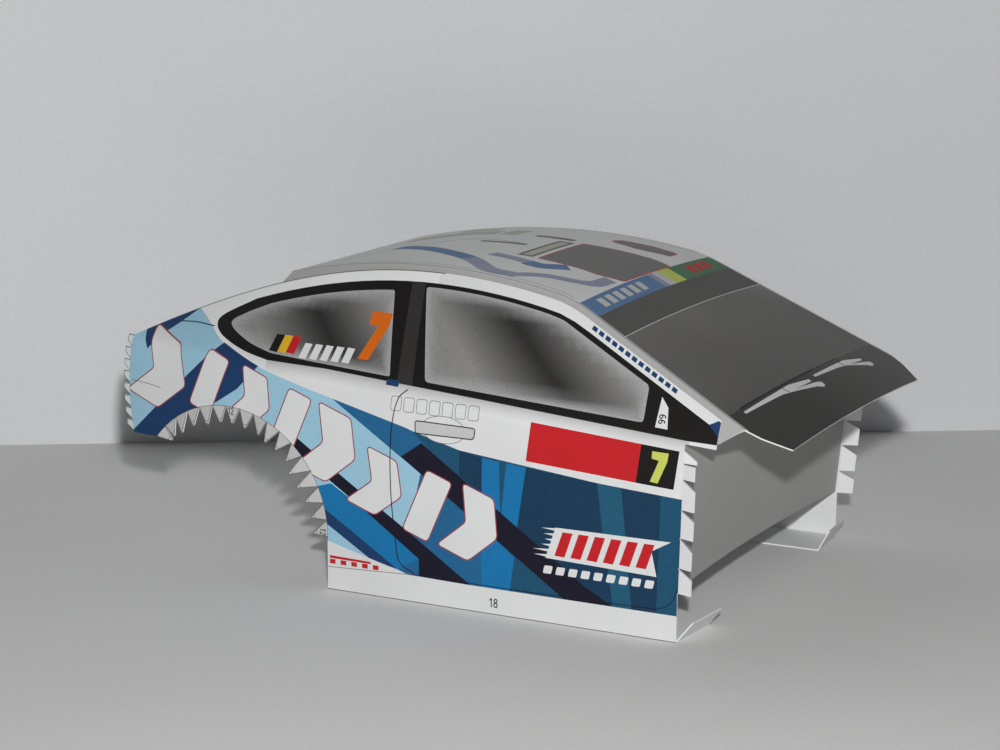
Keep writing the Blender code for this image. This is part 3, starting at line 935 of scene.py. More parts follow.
@dataclass
class CardSheet:
    """A piece of card, drawn flat, printed, and then bent to its place.

    Attributes:
        name: Name of the piece.
        outline: Cut edge of the flat sheet.
        bend: Gives the place on the car, in millimetres, of a point of the flat sheet.
        outward: Direction that the sheet's printed face looks in.
        printed: Shapes of ink, each over those before it.
        creases: Lines along which the sheet is scored or needs points.
        pitch: Distance between the points that let the sheet bend.
        rims: Outlines from which a pale rim fades inward, with the width of the fade.
        rim_fall: Power by which a rim fades.
    """

    name: str
    outline: Outline
    bend: Bend
    outward: tuple[float, float, float]
    printed: list[PrintedShape] = field(default_factory=list)
    creases: list[Outline] = field(default_factory=list)
    pitch: float = 2.6
    rims: list[tuple[Outline, float]] = field(default_factory=list)
    rim_fall: float = 1.6

    def cut(self) -> bmesh.types.BMesh:
        """Cut the flat sheet and its shapes of ink into one mesh.

        Returns:
            The flat sheet, with each face's ink as its material.
        """
        points: list[Vector] = []
        faces: list[list[int]] = []
        edges: list[tuple[int, int]] = []
        for outline in [self.outline, *(shape.outline for shape in self.printed)]:
            first = len(points)
            points += [Vector(point) for point in anticlockwise(divided(outline, self.pitch))]
            faces.append(list(range(first, len(points))))
        for crease in self.creases:
            first = len(points)
            points += [Vector(point) for point in crease]
            edges += [(index, index + 1) for index in range(first, len(points) - 1)]
        points += self.bending_points()
        places, _, triangles, _, _, sources = delaunay_2d_cdt(points, edges, faces, 1, CUT_TOLERANCE)
        sheet = bmesh.new()
        corners = [sheet.verts.new((place.x, place.y, 0.0)) for place in places]
        for triangle, source in zip(triangles, sources):
            if 0 not in source:
                continue
            face = sheet.faces.new([corners[index] for index in triangle])
            topmost = max(source)
            face.material_index = slot_of(self.printed[topmost - 1].ink if topmost else Ink.WHITE)
        loose = [vertex for vertex in sheet.verts if not vertex.link_faces]
        bmesh.ops.delete(sheet, geom=loose, context="VERTS")
        return sheet

    def bending_points(self) -> list[Vector]:
        """Points that let the sheet bend.

        Returns:
            The points, in staggered rows over the whole sheet.
        """
        low_x = min(point[0] for point in self.outline)
        high_x = max(point[0] for point in self.outline)
        low_y = min(point[1] for point in self.outline)
        high_y = max(point[1] for point in self.outline)
        row_pitch = self.pitch * math.sqrt(3) / 2
        points = []
        for row in range(int((high_y - low_y) / row_pitch) + 1):
            start = low_x + (row % 2) * self.pitch / 2
            for column in range(int((high_x - start) / self.pitch) + 1):
                points.append(Vector((start + column * self.pitch, low_y + row * row_pitch)))
        return points

    def rim_share(self, point: Vector) -> float:
        """How near a point is to a rim.

        Args:
            point: Point of the flat sheet.

        Returns:
            1 on a rim, and 0 where its fade ends.
        """
        share = 0.0
        for outline, width in self.rims:
            for start, end in zip(outline[:-1], outline[1:]):
                a, b = Vector(start), Vector(end)
                run = b - a
                t = min(max((point - a).dot(run) / max(run.length_squared, CUT_TOLERANCE ** 2), 0.0), 1.0)
                share = max(share, 1 - (point - a - run * t).length / width)
        return share ** self.rim_fall

    def build(self, body: str, node: str, slot: str) -> bpy.types.Object:
        """Bend the sheet, give it its thickness and put it in the scene.

        Args:
            body: Body that the piece moves with.
            node: Node that it stands for.
            slot: Material slot of the record; not used.

        Returns:
            The finished piece.
        """
        sheet = self.cut()
        rim = sheet.verts.layers.float.new("rim")
        edge = door_edge() / MM
        for vertex in sheet.verts:
            if self.rims:
                vertex[rim] = self.rim_share(vertex.co.xy)
            place = self.bend(vertex.co.x, vertex.co.y)
            vertex.co = (place + Vector((edge, 0.0, 0.0))) * MM
        sheet.normal_update()
        facing = sum((face.normal * face.calc_area() for face in sheet.faces), Vector())
        if facing.dot(Vector(self.outward)) < 0:
            bmesh.ops.reverse_faces(sheet, faces=sheet.faces)
        mesh = bpy.data.meshes.new(self.name)
        sheet.to_mesh(mesh)
        sheet.free()
        for material in all_materials():
            mesh.materials.append(material)
        piece = thickened(self.name, mesh)
        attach(piece, body)
        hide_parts(node)
        return piece


def thickened(name: str, mesh: bpy.types.Mesh) -> bpy.types.Object:
    """Give a bent sheet the card's thickness on its inner side.

    Args:
        name: Name of the piece.
        mesh: The bent sheet, its printed face outwards.

    Returns:
        The piece, whose inner face and cut edges are plain card.
    """
    blank = bpy.data.objects.new(name + "_blank", mesh)
    bpy.context.scene.collection.objects.link(blank)
    wall = blank.modifiers.new("card", "SOLIDIFY")
    wall.thickness = BODY.card * MM
    wall.offset = -1.0
    wall.use_even_offset = True
    wall.material_offset = len(Ink)
    wall.material_offset_rim = len(Ink)
    graph = bpy.context.evaluated_depsgraph_get()
    solid = bpy.data.meshes.new_from_object(blank.evaluated_get(graph))
    bpy.data.objects.remove(blank)
    bpy.data.meshes.remove(mesh)
    solid.name = name
    solid.shade_smooth()
    solid.set_sharp_from_angle(angle=CREASE_ANGLE)
    piece = bpy.data.objects.new(name, solid)
    bpy.context.scene.collection.objects.link(piece)
    return piece


# Side sheets

@dataclass(frozen=True)
class GlueTooth:
    """A tooth of the wheel arch.

    Attributes:
        length: Length on the flat sheet.
        shift: Shift of its tip towards the tail.
        bend: Bend inward in degrees.
    """

    length: float
    shift: float
    bend: float


@dataclass(frozen=True)
class FrontTab:
    """A glue tab of the front edge.

    Attributes:
        bottom: Height of its lower root.
        top: Height of its upper root.
        tip_top: Height of the top of its tip.
        reach: Length on the flat sheet.
        spread: Bend outward in degrees.
    """

    bottom: float
    top: float
    tip_top: float
    reach: float
    spread: float


# From the sill up and over to the tail
TEETH = (
    GlueTooth(3.80, -1.25, 6.0),
    GlueTooth(3.95, -0.95, 6.0),
    GlueTooth(4.20, -0.40, -3.0),
    GlueTooth(4.50, 0.0, -13.0),
    GlueTooth(4.60, 0.30, -14.0),
    GlueTooth(4.05, 0.0, 4.0),
    GlueTooth(4.00, 0.20, -3.0),
    GlueTooth(4.10, 0.0, -8.0),
    GlueTooth(4.55, -0.15, 15.0),
    GlueTooth(4.00, 0.0, 4.0),
    GlueTooth(3.65, 0.0, 0.0),
    GlueTooth(3.70, 0.0, 0.0),
    GlueTooth(4.00, 0.0, -11.0),
    GlueTooth(3.60, 0.40, -19.0),
    GlueTooth(4.00, 0.65, -22.0),
    GlueTooth(3.30, 0.50, -14.0),
    GlueTooth(3.30, -0.35, 14.0),
)

FRONT_TABS = (
    FrontTab(10.4, 15.4, 13.7, 3.5, 18.0),
    FrontTab(15.7, 21.6, 19.5, 3.4, 22.0),
    FrontTab(21.9, 27.5, 25.8, 3.4, 20.0),
    FrontTab(27.8, 33.8, 32.0, 3.4, 21.0),
    FrontTab(34.1, 37.1, 37.1, 3.2, 23.0),
    FrontTab(37.4, 39.9, 38.1, 3.1, 10.0),
)


@dataclass(frozen=True)
class Livery:
    """Stripes, windows, plates and numbers that are printed on one side of the car.

    Attributes:
        side: The side of the car.
        belt_line: Upper edge of the soft grey band under the windows.
        belt_depth: Height of that band.
        belt_fade: Distance over which its grey fades out.
        glass_fade: Width of the pale rim inside a window.
        fine_line: Width of the thin grey outlines.
    """

    side: Side
    belt_line: tuple[Point, ...] = ((-97.7, 48.6), (-83.0, 48.2), (-45.5, 45.5), (0.7, 42.0))
    belt_depth: float = 3.4
    belt_fade: float = 3.2
    glass_fade: float = 2.6
    fine_line: float = 0.13

    @property
    def reading(self) -> int:
        """1 where X runs to the reader's right, and -1 where it runs to the left."""
        return -self.side.value

    def along_top(self, start: float, end: float, below: float, steps: int = 12) -> list[Point]:
        """Points that follow the side's top edge at a distance below it."""
        return [(x, BODY.side_top(x) - below) for x in evenly(start, end, steps)]

    def upper_edge(self) -> list[Point]:
        """Upper edge of the coloured field, from the tail to the front."""
        rear = [(-120.9, 56.4), (-116.8, 54.4), (-110.0, 50.6), (-99.7, 47.0), (-89.3, 44.2), (-80.7, 42.1)]
        return smooth_path(rear) + [(-65.5, 38.4), (-50.0, 34.3), (-44.7, 33.3), (-18.6, 31.1), (2.0, 29.8)]

    def colour_field(self) -> list[PrintedShape]:
        """Stripes in blues, from the tail to the front of the door.

        Returns:
            The shapes of ink.
        """
        foot = [(2.0, 5.6), (-47.2, 5.6), (-62.0, 5.8), (-67.0, 7.1), (-71.6, 8.2), (-81.2, 10.6)]
        tail = [(-90.0, 13.0), (-140.0, 13.0), (-140.0, 44.0), (-134.0, 52.0)]
        shapes = [PrintedShape(Ink.LIGHT_BLUE, self.upper_edge() + foot + tail)]
        return shapes + [PrintedShape(ink, outline) for ink, outline in self.stripes()]

    def stripes(self) -> list[tuple[Ink, Outline]]:
        """Diagonal and upright bands inside the coloured field."""
        return [
            (Ink.NAVY, [(-120.6, 56.6), (-127.2, 54.6), (-132.2, 52.4), (-130.1, 47.5), (-126.3, 51.5),
                        (-124.0, 53.4)]),
            (Ink.NAVY, [(-110.0, 50.8), (-99.5, 47.1), (-105.0, 41.5), (-127.2, 27.4), (-136.5, 26.8),
                        (-128.3, 34.3)]),
            (Ink.TEAL, [(-80.7, 42.1), (-50.0, 34.3), (-18.6, 31.1), (2.0, 29.8), (2.0, 5.6), (-47.2, 5.6),
                        (-62.0, 15.2), (-59.2, 28.2)]),
            (Ink.BRIGHT_TEAL, [(-80.7, 42.1), (-62.0, 37.5), (-57.0, 33.6), (-59.0, 34.8), (-63.8, 31.4)]),
            (Ink.BRIGHT_TEAL, [(-62.0, 15.2), (-59.2, 28.2), (-47.0, 19.8), (-37.0, 13.0), (-38.0, 5.6),
                               (-47.2, 5.6)]),
            (Ink.MID_BLUE, [(-44.6, 18.6), (-37.0, 13.0), (-38.0, 5.6), (-44.6, 5.6)]),
            (Ink.DEEP_TEAL, [(-50.0, 34.3), (-44.7, 33.3), (-44.7, 25.6), (-50.0, 28.8)]),
            (Ink.MID_BLUE, [(-44.7, 33.3), (-40.7, 32.9), (-40.4, 22.0), (-44.7, 25.2)]),
            (Ink.MID_BLUE, [(-39.1, 32.8), (-34.5, 32.4), (-36.5, 19.0), (-40.1, 22.0)]),
            (Ink.DEEP_TEAL, [(-34.5, 32.4), (-18.4, 31.1), (-17.1, 21.2), (-12.2, 5.6), (-24.0, 5.6),
                             (-36.5, 19.0)]),
            (Ink.FRONT_TEAL, [(-18.4, 31.1), (-13.0, 30.6), (-10.3, 5.6), (-14.5, 5.6)]),
            (Ink.DEEP_TEAL, [(-13.0, 30.6), (-4.3, 30.1), (-4.8, 5.6), (-10.3, 5.6)]),
            (Ink.NIGHT, [(-63.8, 31.4), (-59.0, 34.8), (-39.5, 21.6), (-20.9, 9.0), (-14.5, 5.6),
                         (-25.5, 5.6)]),
            (Ink.NIGHT, [(-92.4, 34.4), (-72.1, 21.5), (-62.0, 15.2), (-47.2, 5.6), (-59.5, 5.8),
                         (-59.5, 9.6), (-73.4, 19.1), (-90.1, 29.7)]),
            (Ink.MID_BLUE, [(-84.1, 22.6), (-81.0, 23.5), (-73.4, 19.1), (-59.5, 9.6), (-64.7, 6.7),
                            (-84.0, 18.6)]),
            (Ink.NAVY, [(-84.0, 18.6), (-64.7, 6.7), (-67.0, 7.1), (-71.6, 8.2), (-84.0, 15.6)]),
            (Ink.BRIGHT_TEAL, [(-64.7, 6.7), (-59.5, 9.6), (-59.5, 5.8), (-62.0, 5.8)]),
        ]

    def bold_blocks(self) -> list[PrintedShape]:
        """A row of bold white chevrons and slanted bars with a maroon edge, down along the side.

        Returns:
            The shapes of ink.
        """
        across, up = Vector((0.94, -0.34)), Vector((0.40, 0.92))
        corner_round, edge_width = 0.9, 0.52
        chevrons = (
            (-126.0, 42.8, 14.2, 16.0, 9.2), (-101.2, 39.6, 9.8, 12.4, 6.6), (-81.0, 31.6, 12.6, 15.6, 8.2),
            (-69.2, 24.6, 11.4, 13.2, 7.4), (-46.6, 18.4, 11.6, 15.0, 7.6),
        )
        bars = ((-112.6, 42.2, 5.8, 13.4), (-91.2, 36.0, 5.8, 13.4), (-57.6, 21.4, 6.2, 14.4))
        outlines = []
        for x, z, width, height, thick in chevrons:
            w, h = width / 2, height / 2
            corners = ((-w, -h), (thick - w, -h), (w, 0.0), (thick - w, h), (-w, h), (w - thick, 0.0))
            outlines.append([Vector((x, z)) + across * a + up * b for a, b in corners])
        for x, z, width, height in bars:
            corners = ((-width, -height), (width, -height), (width, height), (-width, height))
            outlines.append([Vector((x, z)) + (across * a + up * b) / 2 for a, b in corners])
        shapes = []
        for outline in outlines:
            block = rounded(outline, corner_round, steps=3)
            shapes += stroke(Ink.MAROON, closed(block), edge_width)
            shapes.append(PrintedShape(Ink.WHITE, block))
        return shapes

    def racing_flag(self) -> list[PrintedShape]:
        """Red slanted bars on a white arrow, with speed lines behind it and a row of dashes below.

        Returns:
            The shapes of ink.
        """
        arrow = [(-29.8, 13.9), (-27.6, 20.6), (-1.9, 20.8), (-6.1, 18.4), (-4.9, 13.2)]
        bar = [(-0.2, 14.6), (2.1, 14.5), (3.9, 19.8), (1.6, 19.8)]
        dash = [(0.0, 10.6), (1.9, 10.6), (2.3, 12.3), (0.4, 12.3)]
        shapes = [PrintedShape(Ink.WHITE, arrow)]
        shapes += [PrintedShape(Ink.RED, copy) for copy in in_row(bar, (-27.6, 0.0), (3.65, 0.0), 6)]
        for index, length in enumerate((5.2, 6.4, 3.6, 3.0, 4.2, 5.8)):
            x, z = -29.6 + index * 0.4, 14.4 + index * 1.15
            speed_line = [(x + 0.6, z + 0.36), (x - length * 0.55, z + 0.05), (x + 0.6, z - 0.3)]
            shapes.append(PrintedShape(Ink.WHITE, speed_line))
        for copy in in_row(dash, (-30.4, 0.0), (2.85, 0.0), 9):
            shapes.append(PrintedShape(Ink.WHITE, rounded(copy, 0.3, steps=2)))
        return shapes

    def windows(self) -> list[PrintedShape]:
        """Black surround, two windows of printed glass and the strip between them.

        Returns:
            The shapes of ink.
        """
        top = self.along_top(-107.0, 5.4, below=2.15, steps=30)
        foot = [(7.3, 43.6), (7.3, 41.7), (0.7, 41.9), (-45.5, 45.4), (-83.0, 48.1), (-97.7, 48.5)]
        tip = [(-97.7, 48.5), (-104.5, 49.8), (-111.3, 52.0), (-114.2, 54.1), (-113.4, 56.0), top[0]]
        return [
            PrintedShape(Ink.BLACK, top + foot + smooth_path(tip)[1:-1]),
            PrintedShape(Ink.FRAME_GREY, [(-68.4, 66.3), (-65.1, 66.2), (-61.7, 46.6), (-65.4, 46.9)]),
            PrintedShape(Ink.WINDOW, self.rear_glass()),
            PrintedShape(Ink.WINDOW, self.front_glass()),
        ]

    def rear_glass(self) -> list[Point]:
        """Outline of the rear side window.

        Returns:
            Its points.
        """
        top = self.along_top(-102.5, -72.2, below=4.0, steps=10)
        tip = [(-97.6, 49.9), (-104.5, 51.6), (-110.6, 54.4), (-108.0, 56.6), top[0]]
        return rounded([*top, (-67.4, 47.9), *smooth_path(tip)[:-1]], 0.5, steps=3)

    def front_glass(self) -> list[Point]:
        """Outline of the door's window."""
        top = self.along_top(-64.6, -31.0, below=3.0, steps=10)
        return rounded([(-59.0, 47.6), *top, (-9.4, 51.3), (-9.1, 44.4)], 0.8, steps=3)

    def panel_lines(self) -> list[PrintedShape]:
        """Shut lines of the door and the boot, and the sill's line.

        Returns:
            The shapes of ink.
        """
        door = [(-62.5, 45.8), (-64.6, 43.7), (-66.0, 38.4), (-66.5, 30.8), (-66.2, 21.7), (-65.3, 14.1),
                (-64.3, 8.5), (-60.5, 6.1)]
        sill = [(-60.5, 6.1), (-36.0, 6.0), (-8.0, 6.4), (-4.2, 6.7), (-2.0, 7.8), (-0.8, 9.6), (-0.4, 11.4)]
        boot = [(-124.4, 53.6), (-119.6, 53.8), (-114.6, 53.5)]
        sill_rear = [(-82.0, 5.0), (-70.0, 5.5), (-60.5, 6.0)]
        tail = [(-134.6, 40.0), (-130.1, 39.7), (-126.3, 39.2)]
        lines = ((Ink.NIGHT, smooth_path(door), 0.24), (Ink.NIGHT, smooth_path(sill), 0.18),
                 (Ink.NAVY, smooth_path(boot), 0.22), (Ink.LINE_GREY, sill_rear, 0.14),
                 (Ink.LINE_GREY, smooth_path(tail), 0.14))
        return [shape for line in lines for shape in stroke(*line)]

    def handle(self) -> list[PrintedShape]:
        """Door handle with the hollow behind it.

        Returns:
            The shapes of ink.
        """
        hollow = ellipse(-53.8, 38.2, wide=5.2, high=2.9)
        bar = rounded([(-60.5, 36.8), (-46.7, 36.9), (-46.3, 39.3), (-60.5, 39.5)], 0.7)
        shapes = [PrintedShape(Ink.WHITE, hollow)] + stroke(Ink.LINE_GREY, closed(hollow), self.fine_line)
        shapes.append(PrintedShape(Ink.PALE_GREY, bar))
        return shapes + stroke(Ink.BLACK, closed(bar), 0.24)

    def outlined_blocks(self) -> list[PrintedShape]:
        """A row of small outlined blocks above the handle.

        Returns:
            The shapes of ink.
        """
        block = [(0.0, 0.0), (2.4, 0.0), (2.7, 3.1), (0.3, 3.1)]
        shapes = []
        for copy in in_row(block, (-66.4, 41.1), (3.05, -0.03), 7):
            shapes += stroke(Ink.LINE_GREY, closed(rounded(copy, 0.5, steps=2)), self.fine_line)
        return shapes

    def plates(self) -> list[PrintedShape]:
        """Blank red plate, the number box beside it, and the small blocks of plain colour.

        Returns:
            The shapes of ink.
        """
        shapes = [
            PrintedShape(Ink.RED, [(-34.6, 33.8), (-9.9, 32.2), (-8.8, 40.3), (-33.5, 42.1)]),
            PrintedShape(Ink.BLACK, [(-9.9, 32.2), (-1.6, 31.7), (-0.5, 39.7), (-8.8, 40.3)]),
            PrintedShape(Ink.RED, [(-81.3, 7.0), (-71.1, 6.9), (-71.3, 7.4), (-81.3, 7.6)]),
            PrintedShape(Ink.NAVY, [(-67.9, 46.3), (-64.9, 46.1), (-64.8, 47.3), (-67.8, 47.5)]),
            PrintedShape(Ink.WHITE, [(-6.4, 43.8), (-3.7, 43.6), (-4.4, 47.6), (-6.2, 49.5)]),
            PrintedShape(Ink.NAVY, [(4.8, 45.3), (6.7, 46.2), (7.6, 45.6), (7.6, 43.0), (6.9, 43.4)]),
        ]
        flag_field = [(0.0, 50.35), (2.15, 50.15), (2.5, 53.5), (0.4, 53.5)]
        fields = in_row(flag_field, (-98.1, 0.0), (2.15, 0.0), 3)
        shapes += [PrintedShape(ink, copy) for ink, copy in zip((Ink.BLACK, Ink.YELLOW, Ink.RED), fields)]
        window_block = [(0.0, 49.6), (1.8, 49.5), (2.3, 52.4), (0.5, 52.5)]
        sill_block = [(9.0, 5.8), (10.4, 5.8), (10.4, 6.8), (9.0, 6.8)]
        for x in (-90.3 + index * 2.65 for index in range(5)):
            for ink, block in ((Ink.WHITE, window_block), (Ink.RED, sill_block)):
                shapes.append(PrintedShape(ink, [(x + along, z) for along, z in block]))
        for x in (-24.4 + index * 1.65 for index in range(13)):
            z = BODY.side_top(x) - 1.35
            dash = [(x, z), (x + 1.15, z - 0.58), (x + 1.4, z + 0.2), (x + 0.3, z + 0.78)]
            shapes.append(PrintedShape(Ink.NAVY, dash))
        return shapes

    def numbers(self) -> list[PrintedShape]:
        """The plain numbers, which read the right way round on both sides."""
        numbers = (
            Number("18", Ink.BLACK, (-41.8, 2.5), 1.8, 0.24, narrow=0.85),
            Number("99", Ink.BLACK, (-5.2, 45.4), 1.35, 0.22, turn=90.0),
            Number("12", Ink.BLACK, (-106.7, 36.4), 1.5, 0.2, narrow=0.8),
            Number("12", Ink.BLACK, (-83.1, 12.5), 1.5, 0.2, turn=-90.0, narrow=0.8),
        )
        return self.sevens() + [shape for number in numbers for shape in number.shapes(self.reading)]

    def sevens(self) -> list[PrintedShape]:
        """The two large sevens, one on the rear window and one in the black box.

        Returns:
            The shapes of ink.
        """
        orange = [(-76.0, 59.9), (-70.9, 59.8), (-71.0, 57.4), (-73.6, 50.5), (-76.2, 50.6), (-73.6, 57.2),
                  (-76.0, 57.3)]
        lime = [(-6.4, 39.1), (-2.8, 39.0), (-3.1, 37.2), (-5.1, 32.6), (-6.8, 32.8), (-4.9, 37.3),
                (-6.5, 37.6)]
        shapes = []
        for ink, outline in ((Ink.ORANGE, orange), (Ink.LIME, lime)):
            middle = sum(x for x, _ in outline) / len(outline)
            shapes.append(PrintedShape(ink, [(middle + self.reading * (x - middle), z) for x, z in outline]))
        return shapes

    def painted_light_rail(self) -> list[PrintedShape]:
        """Card over the rear window, set lighter than the printed white as painted light on the band that
        leans in.
        """
        top = self.along_top(-124.0, -62.0, below=-1.0)
        # Painted light: the lighter card ink brightens the leaning band above the windows
        return [PrintedShape(Ink.CARD, top + [(-62.0, 57.0), (-104.0, 54.0), (-113.0, 48.0), (-124.0, 48.0)])]

    def belt_shade(self) -> list[PrintedShape]:
        """Soft grey band under the windows, partly print and partly painted shade."""
        upper = [*self.belt_line, (1.4, 42.0)]
        return [PrintedShape(Ink.BELT_SHADE, upper + [(x, z - self.belt_depth) for x, z in reversed(upper)])]

    def shapes(self) -> list[PrintedShape]:
        """Everything printed on the side, each shape over those before it."""
        return (
            self.belt_shade() + self.painted_light_rail() + self.colour_field() + self.bold_blocks()
            + self.racing_flag() + self.windows() + self.outlined_blocks() + self.handle() + self.plates()
        )

    def rims(self) -> list[tuple[Outline, float]]:
        """Edges from which the glass and the belt's shade fade."""
        glasses = [(closed(glass), self.glass_fade) for glass in (self.rear_glass(), self.front_glass())]
        return [*glasses, (self.belt_line, self.belt_fade)]


@dataclass
class SideSheet:
    """One printed side: door, rear quarter, window band and the wheel arch with its teeth.

    Attributes:
        side: The side of the car.
        tooth_tip: Width of a tooth's tip.
        rear_tab_count: Number of rear tabs.
        rear_tab_length: Length of a rear tab.
        rear_tab_root: Height of a rear tab at its root.
        rear_tab_tip: Height of a rear tab at its tip.
        rear_tab_bend: Bend inward of the rear tabs, in degrees.
        arc_steps: Short edges of the arch at each tooth.
        top_steps: Short edges of the top edge.
        belt_rows: Rows of points along the belt's crease, by their height above it.
        cut_line: Width of the grey lines along the cut edges, and of the painted shadow line along the sill's
            crease.
        fold_line: Width of the grey line along the arch's fold, and of the teeth's marks.
    """

    side: Side
    tooth_tip: float = 0.5
    rear_tab_count: int = 8
    rear_tab_length: float = 2.0
    rear_tab_root: float = 2.5
    rear_tab_tip: float = 1.3
    rear_tab_bend: float = 17.0
    arc_steps: int = 4
    top_steps: int = 60
    belt_rows: tuple[float, ...] = (-1.6, -0.7, 0.0, 0.7, 1.6)
    cut_line: float = 0.34
    fold_line: float = 0.12

    def arch_point(self, angle: float, radius: float) -> Point:
        """Point at an angle and radius round the arch's centre."""
        return (BODY.arch_x + radius * math.cos(angle), BODY.arch_z + radius * math.sin(angle))

    def tooth_roots(self) -> list[float]:
        """Angles of the teeth's roots, from the sill up and over to the tail."""
        end = math.pi - math.asin((BODY.tail_foot_z - BODY.arch_z) / BODY.arch_radius)
        return evenly(0.0, end, len(TEETH))

    def tooth_corners(self, index: int) -> list[Point]:
        """Two corners of a tooth's tip.

        Args:
            index: Number of the tooth, from the sill.

        Returns:
            The corners, the one nearer the sill first.
        """
        roots = self.tooth_roots()
        radius = BODY.arch_radius - TEETH[index].length
        middle = (roots[index] + roots[index + 1]) / 2
        low = middle + (TEETH[index].shift - self.tooth_tip / 2) / radius
        high = middle + (TEETH[index].shift + self.tooth_tip / 2) / radius
        return [self.arch_point(low, radius), self.arch_point(high, radius)]

    def tooth_at(self, angle: float) -> GlueTooth:
        """The tooth that stands at an angle round the arch."""
        step = self.tooth_roots()[1]
        return TEETH[min(max(int(angle / step), 0), len(TEETH) - 1)]

    def front_tab(self, tab: FrontTab) -> list[Point]:
        """Four corners of a front tab, its two roots first and last."""
        sign = self.side.value
        return [
            (BODY.front_edge(sign, tab.bottom), tab.bottom),
            (BODY.front_edge(sign, tab.bottom) + tab.reach, tab.bottom),
            (BODY.front_edge(sign, tab.tip_top) + tab.reach, tab.tip_top),
            (BODY.front_edge(sign, tab.top), tab.top),
        ]

    def rear_tab(self, index: int) -> list[Point]:
        """Four corners of a rear tab.

        Args:
            index: Number of the tab, from the top.

        Returns:
            The corners, the two roots first and last.
        """
        top_z = BODY.belt_height(BODY.tail_x)
        top = top_z - (top_z - BODY.tail_foot_z) / self.rear_tab_count * index
        foot = top - self.rear_tab_root
        return [
            (BODY.tail_edge(top), top),
            (BODY.tail_edge(top) - self.rear_tab_length, top),
            (BODY.tail_edge(top) - self.rear_tab_length, top - self.rear_tab_tip),
            (BODY.tail_edge(foot), foot),
        ]

    def outline(self) -> list[Point]:
        """Cut edge of the flat sheet.

        Returns:
            Its points, from the sill's front corner round to its rear.
        """
        sign = self.side.value
        points = [(BODY.front_edge(sign, 0.0), 0.0)]
        for tab in FRONT_TABS:
            points += self.front_tab(tab)
        belt = BODY.belt_height(BODY.front_edge(sign, BODY.belt_z))
        points.append((BODY.front_edge(sign, belt), belt))
        points.append((BODY.nose_x, BODY.belt_height(BODY.nose_x)))
        end = BODY.tail_edge(BODY.belt_height(BODY.tail_x))
        points += [(x, BODY.side_top(x)) for x in evenly(BODY.nose_x, end, self.top_steps)[:-1]]
        for index in range(self.rear_tab_count):
            points += self.rear_tab(index)
        points.append((BODY.tail_edge(BODY.tail_foot_z), BODY.tail_foot_z))
        roots = self.tooth_roots()
        for index in reversed(range(len(TEETH))):
            points.append(self.arch_point(roots[index + 1], BODY.arch_radius))
            points += reversed(self.tooth_corners(index))
        points.append(self.arch_point(0.0, BODY.arch_radius))
        points.append((BODY.arch_front_x, 0.0))
        return points

    def arch_line(self) -> list[Point]:
        """The arch's fold line, as an arc."""
        angles = evenly(0.0, self.tooth_roots()[-1], len(TEETH) * self.arc_steps)
        return [self.arch_point(angle, BODY.arch_radius) for angle in angles]

    def folds(self) -> list[Outline]:
        """Scored lines and rows of points where the sheet turns most.

        Returns:
            The lines.
        """
        sign = self.side.value
        heights = [tab.bottom for tab in FRONT_TABS] + [FRONT_TABS[-1].top]
        front = [(BODY.front_edge(sign, z), z) for z in heights]
        tail_top = BODY.belt_height(BODY.tail_x)
        tail = [(BODY.tail_edge(z), z) for z in evenly(BODY.tail_foot_z, tail_top, 16)]
        along = evenly(BODY.tail_edge(tail_top), BODY.nose_x, 30)
        belts = [[(x, BODY.belt_height(x) + above) for x in along] for above in self.belt_rows]
        return [front, tail, self.arch_line(), *belts]

    def bare_tabs(self) -> list[PrintedShape]:
        """Pale grey over the teeth as painted shade, plain card over the tabs, where no ink is printed, and
        the marks on them.

        Returns:
            The shapes of ink.
        """
        sign = self.side.value
        rear, foot, tip = -140.0, -2.0, 8.0
        tail_foot, tail_top, front_top = 26.0, 52.0, 40.6
        arch = self.arch_line() + [(rear, 20.0), (rear, foot), (BODY.arch_front_x, foot)]
        tail = [(BODY.tail_edge(z), z) for z in evenly(tail_foot, tail_top, 16)]
        tail += [(rear, tail_top), (rear, tail_foot)]
        front = [(BODY.front_edge(sign, 0.0), foot), (tip, foot), (tip, front_top),
                 (BODY.front_edge(sign, front_top), front_top)]
        # The teeth are white card; the pale grey on them is painted shade
        fields = ((Ink.PALE_GREY, arch), (Ink.CARD, tail), (Ink.CARD, front))
        shapes = [PrintedShape(ink, outline) for ink, outline in fields]
        shapes += stroke(Ink.LINE_GREY, self.arch_line(), self.fold_line)
        roots = self.tooth_roots()
        for index, tooth in enumerate(TEETH):
            radius = BODY.arch_radius - tooth.length + 0.85
            middle = (roots[index] + roots[index + 1]) / 2 + tooth.shift * 0.8 / radius
            mark = [self.arch_point(middle + half / radius, radius) for half in (-0.5, 0.5)]
            shapes += stroke(Ink.LINE_GREY, mark, self.fold_line)
        return shapes + self.cut_lines_and_sill_shadow()

    def cut_lines_and_sill_shadow(self) -> list[PrintedShape]:
        """Printed lines along the teeth and rear tabs, a grey line on the rear top edge, and painted shadow
        along the sill's crease.

        Returns:
            The shapes of ink.
        """
        roots = [self.arch_point(root, BODY.arch_radius) for root in self.tooth_roots()]
        pairs = enumerate(zip(roots[:-1], roots[1:]))
        edges = [[low, *self.tooth_corners(index), high] for index, (low, high) in pairs]
        edges += [self.rear_tab(index) for index in range(self.rear_tab_count)]
        # Painted shadow: a dark line along the sill's crease, where the sill meets the table
        edges.append([(BODY.arch_front_x, 0.0), (BODY.front_edge(self.side.value, 0.0), 0.0)])
        edges.append([(x, BODY.side_top(x)) for x in range(-121, -58, 3)])
        return [shape for edge in edges for shape in stroke(Ink.LINE_GREY, edge, self.cut_line)]

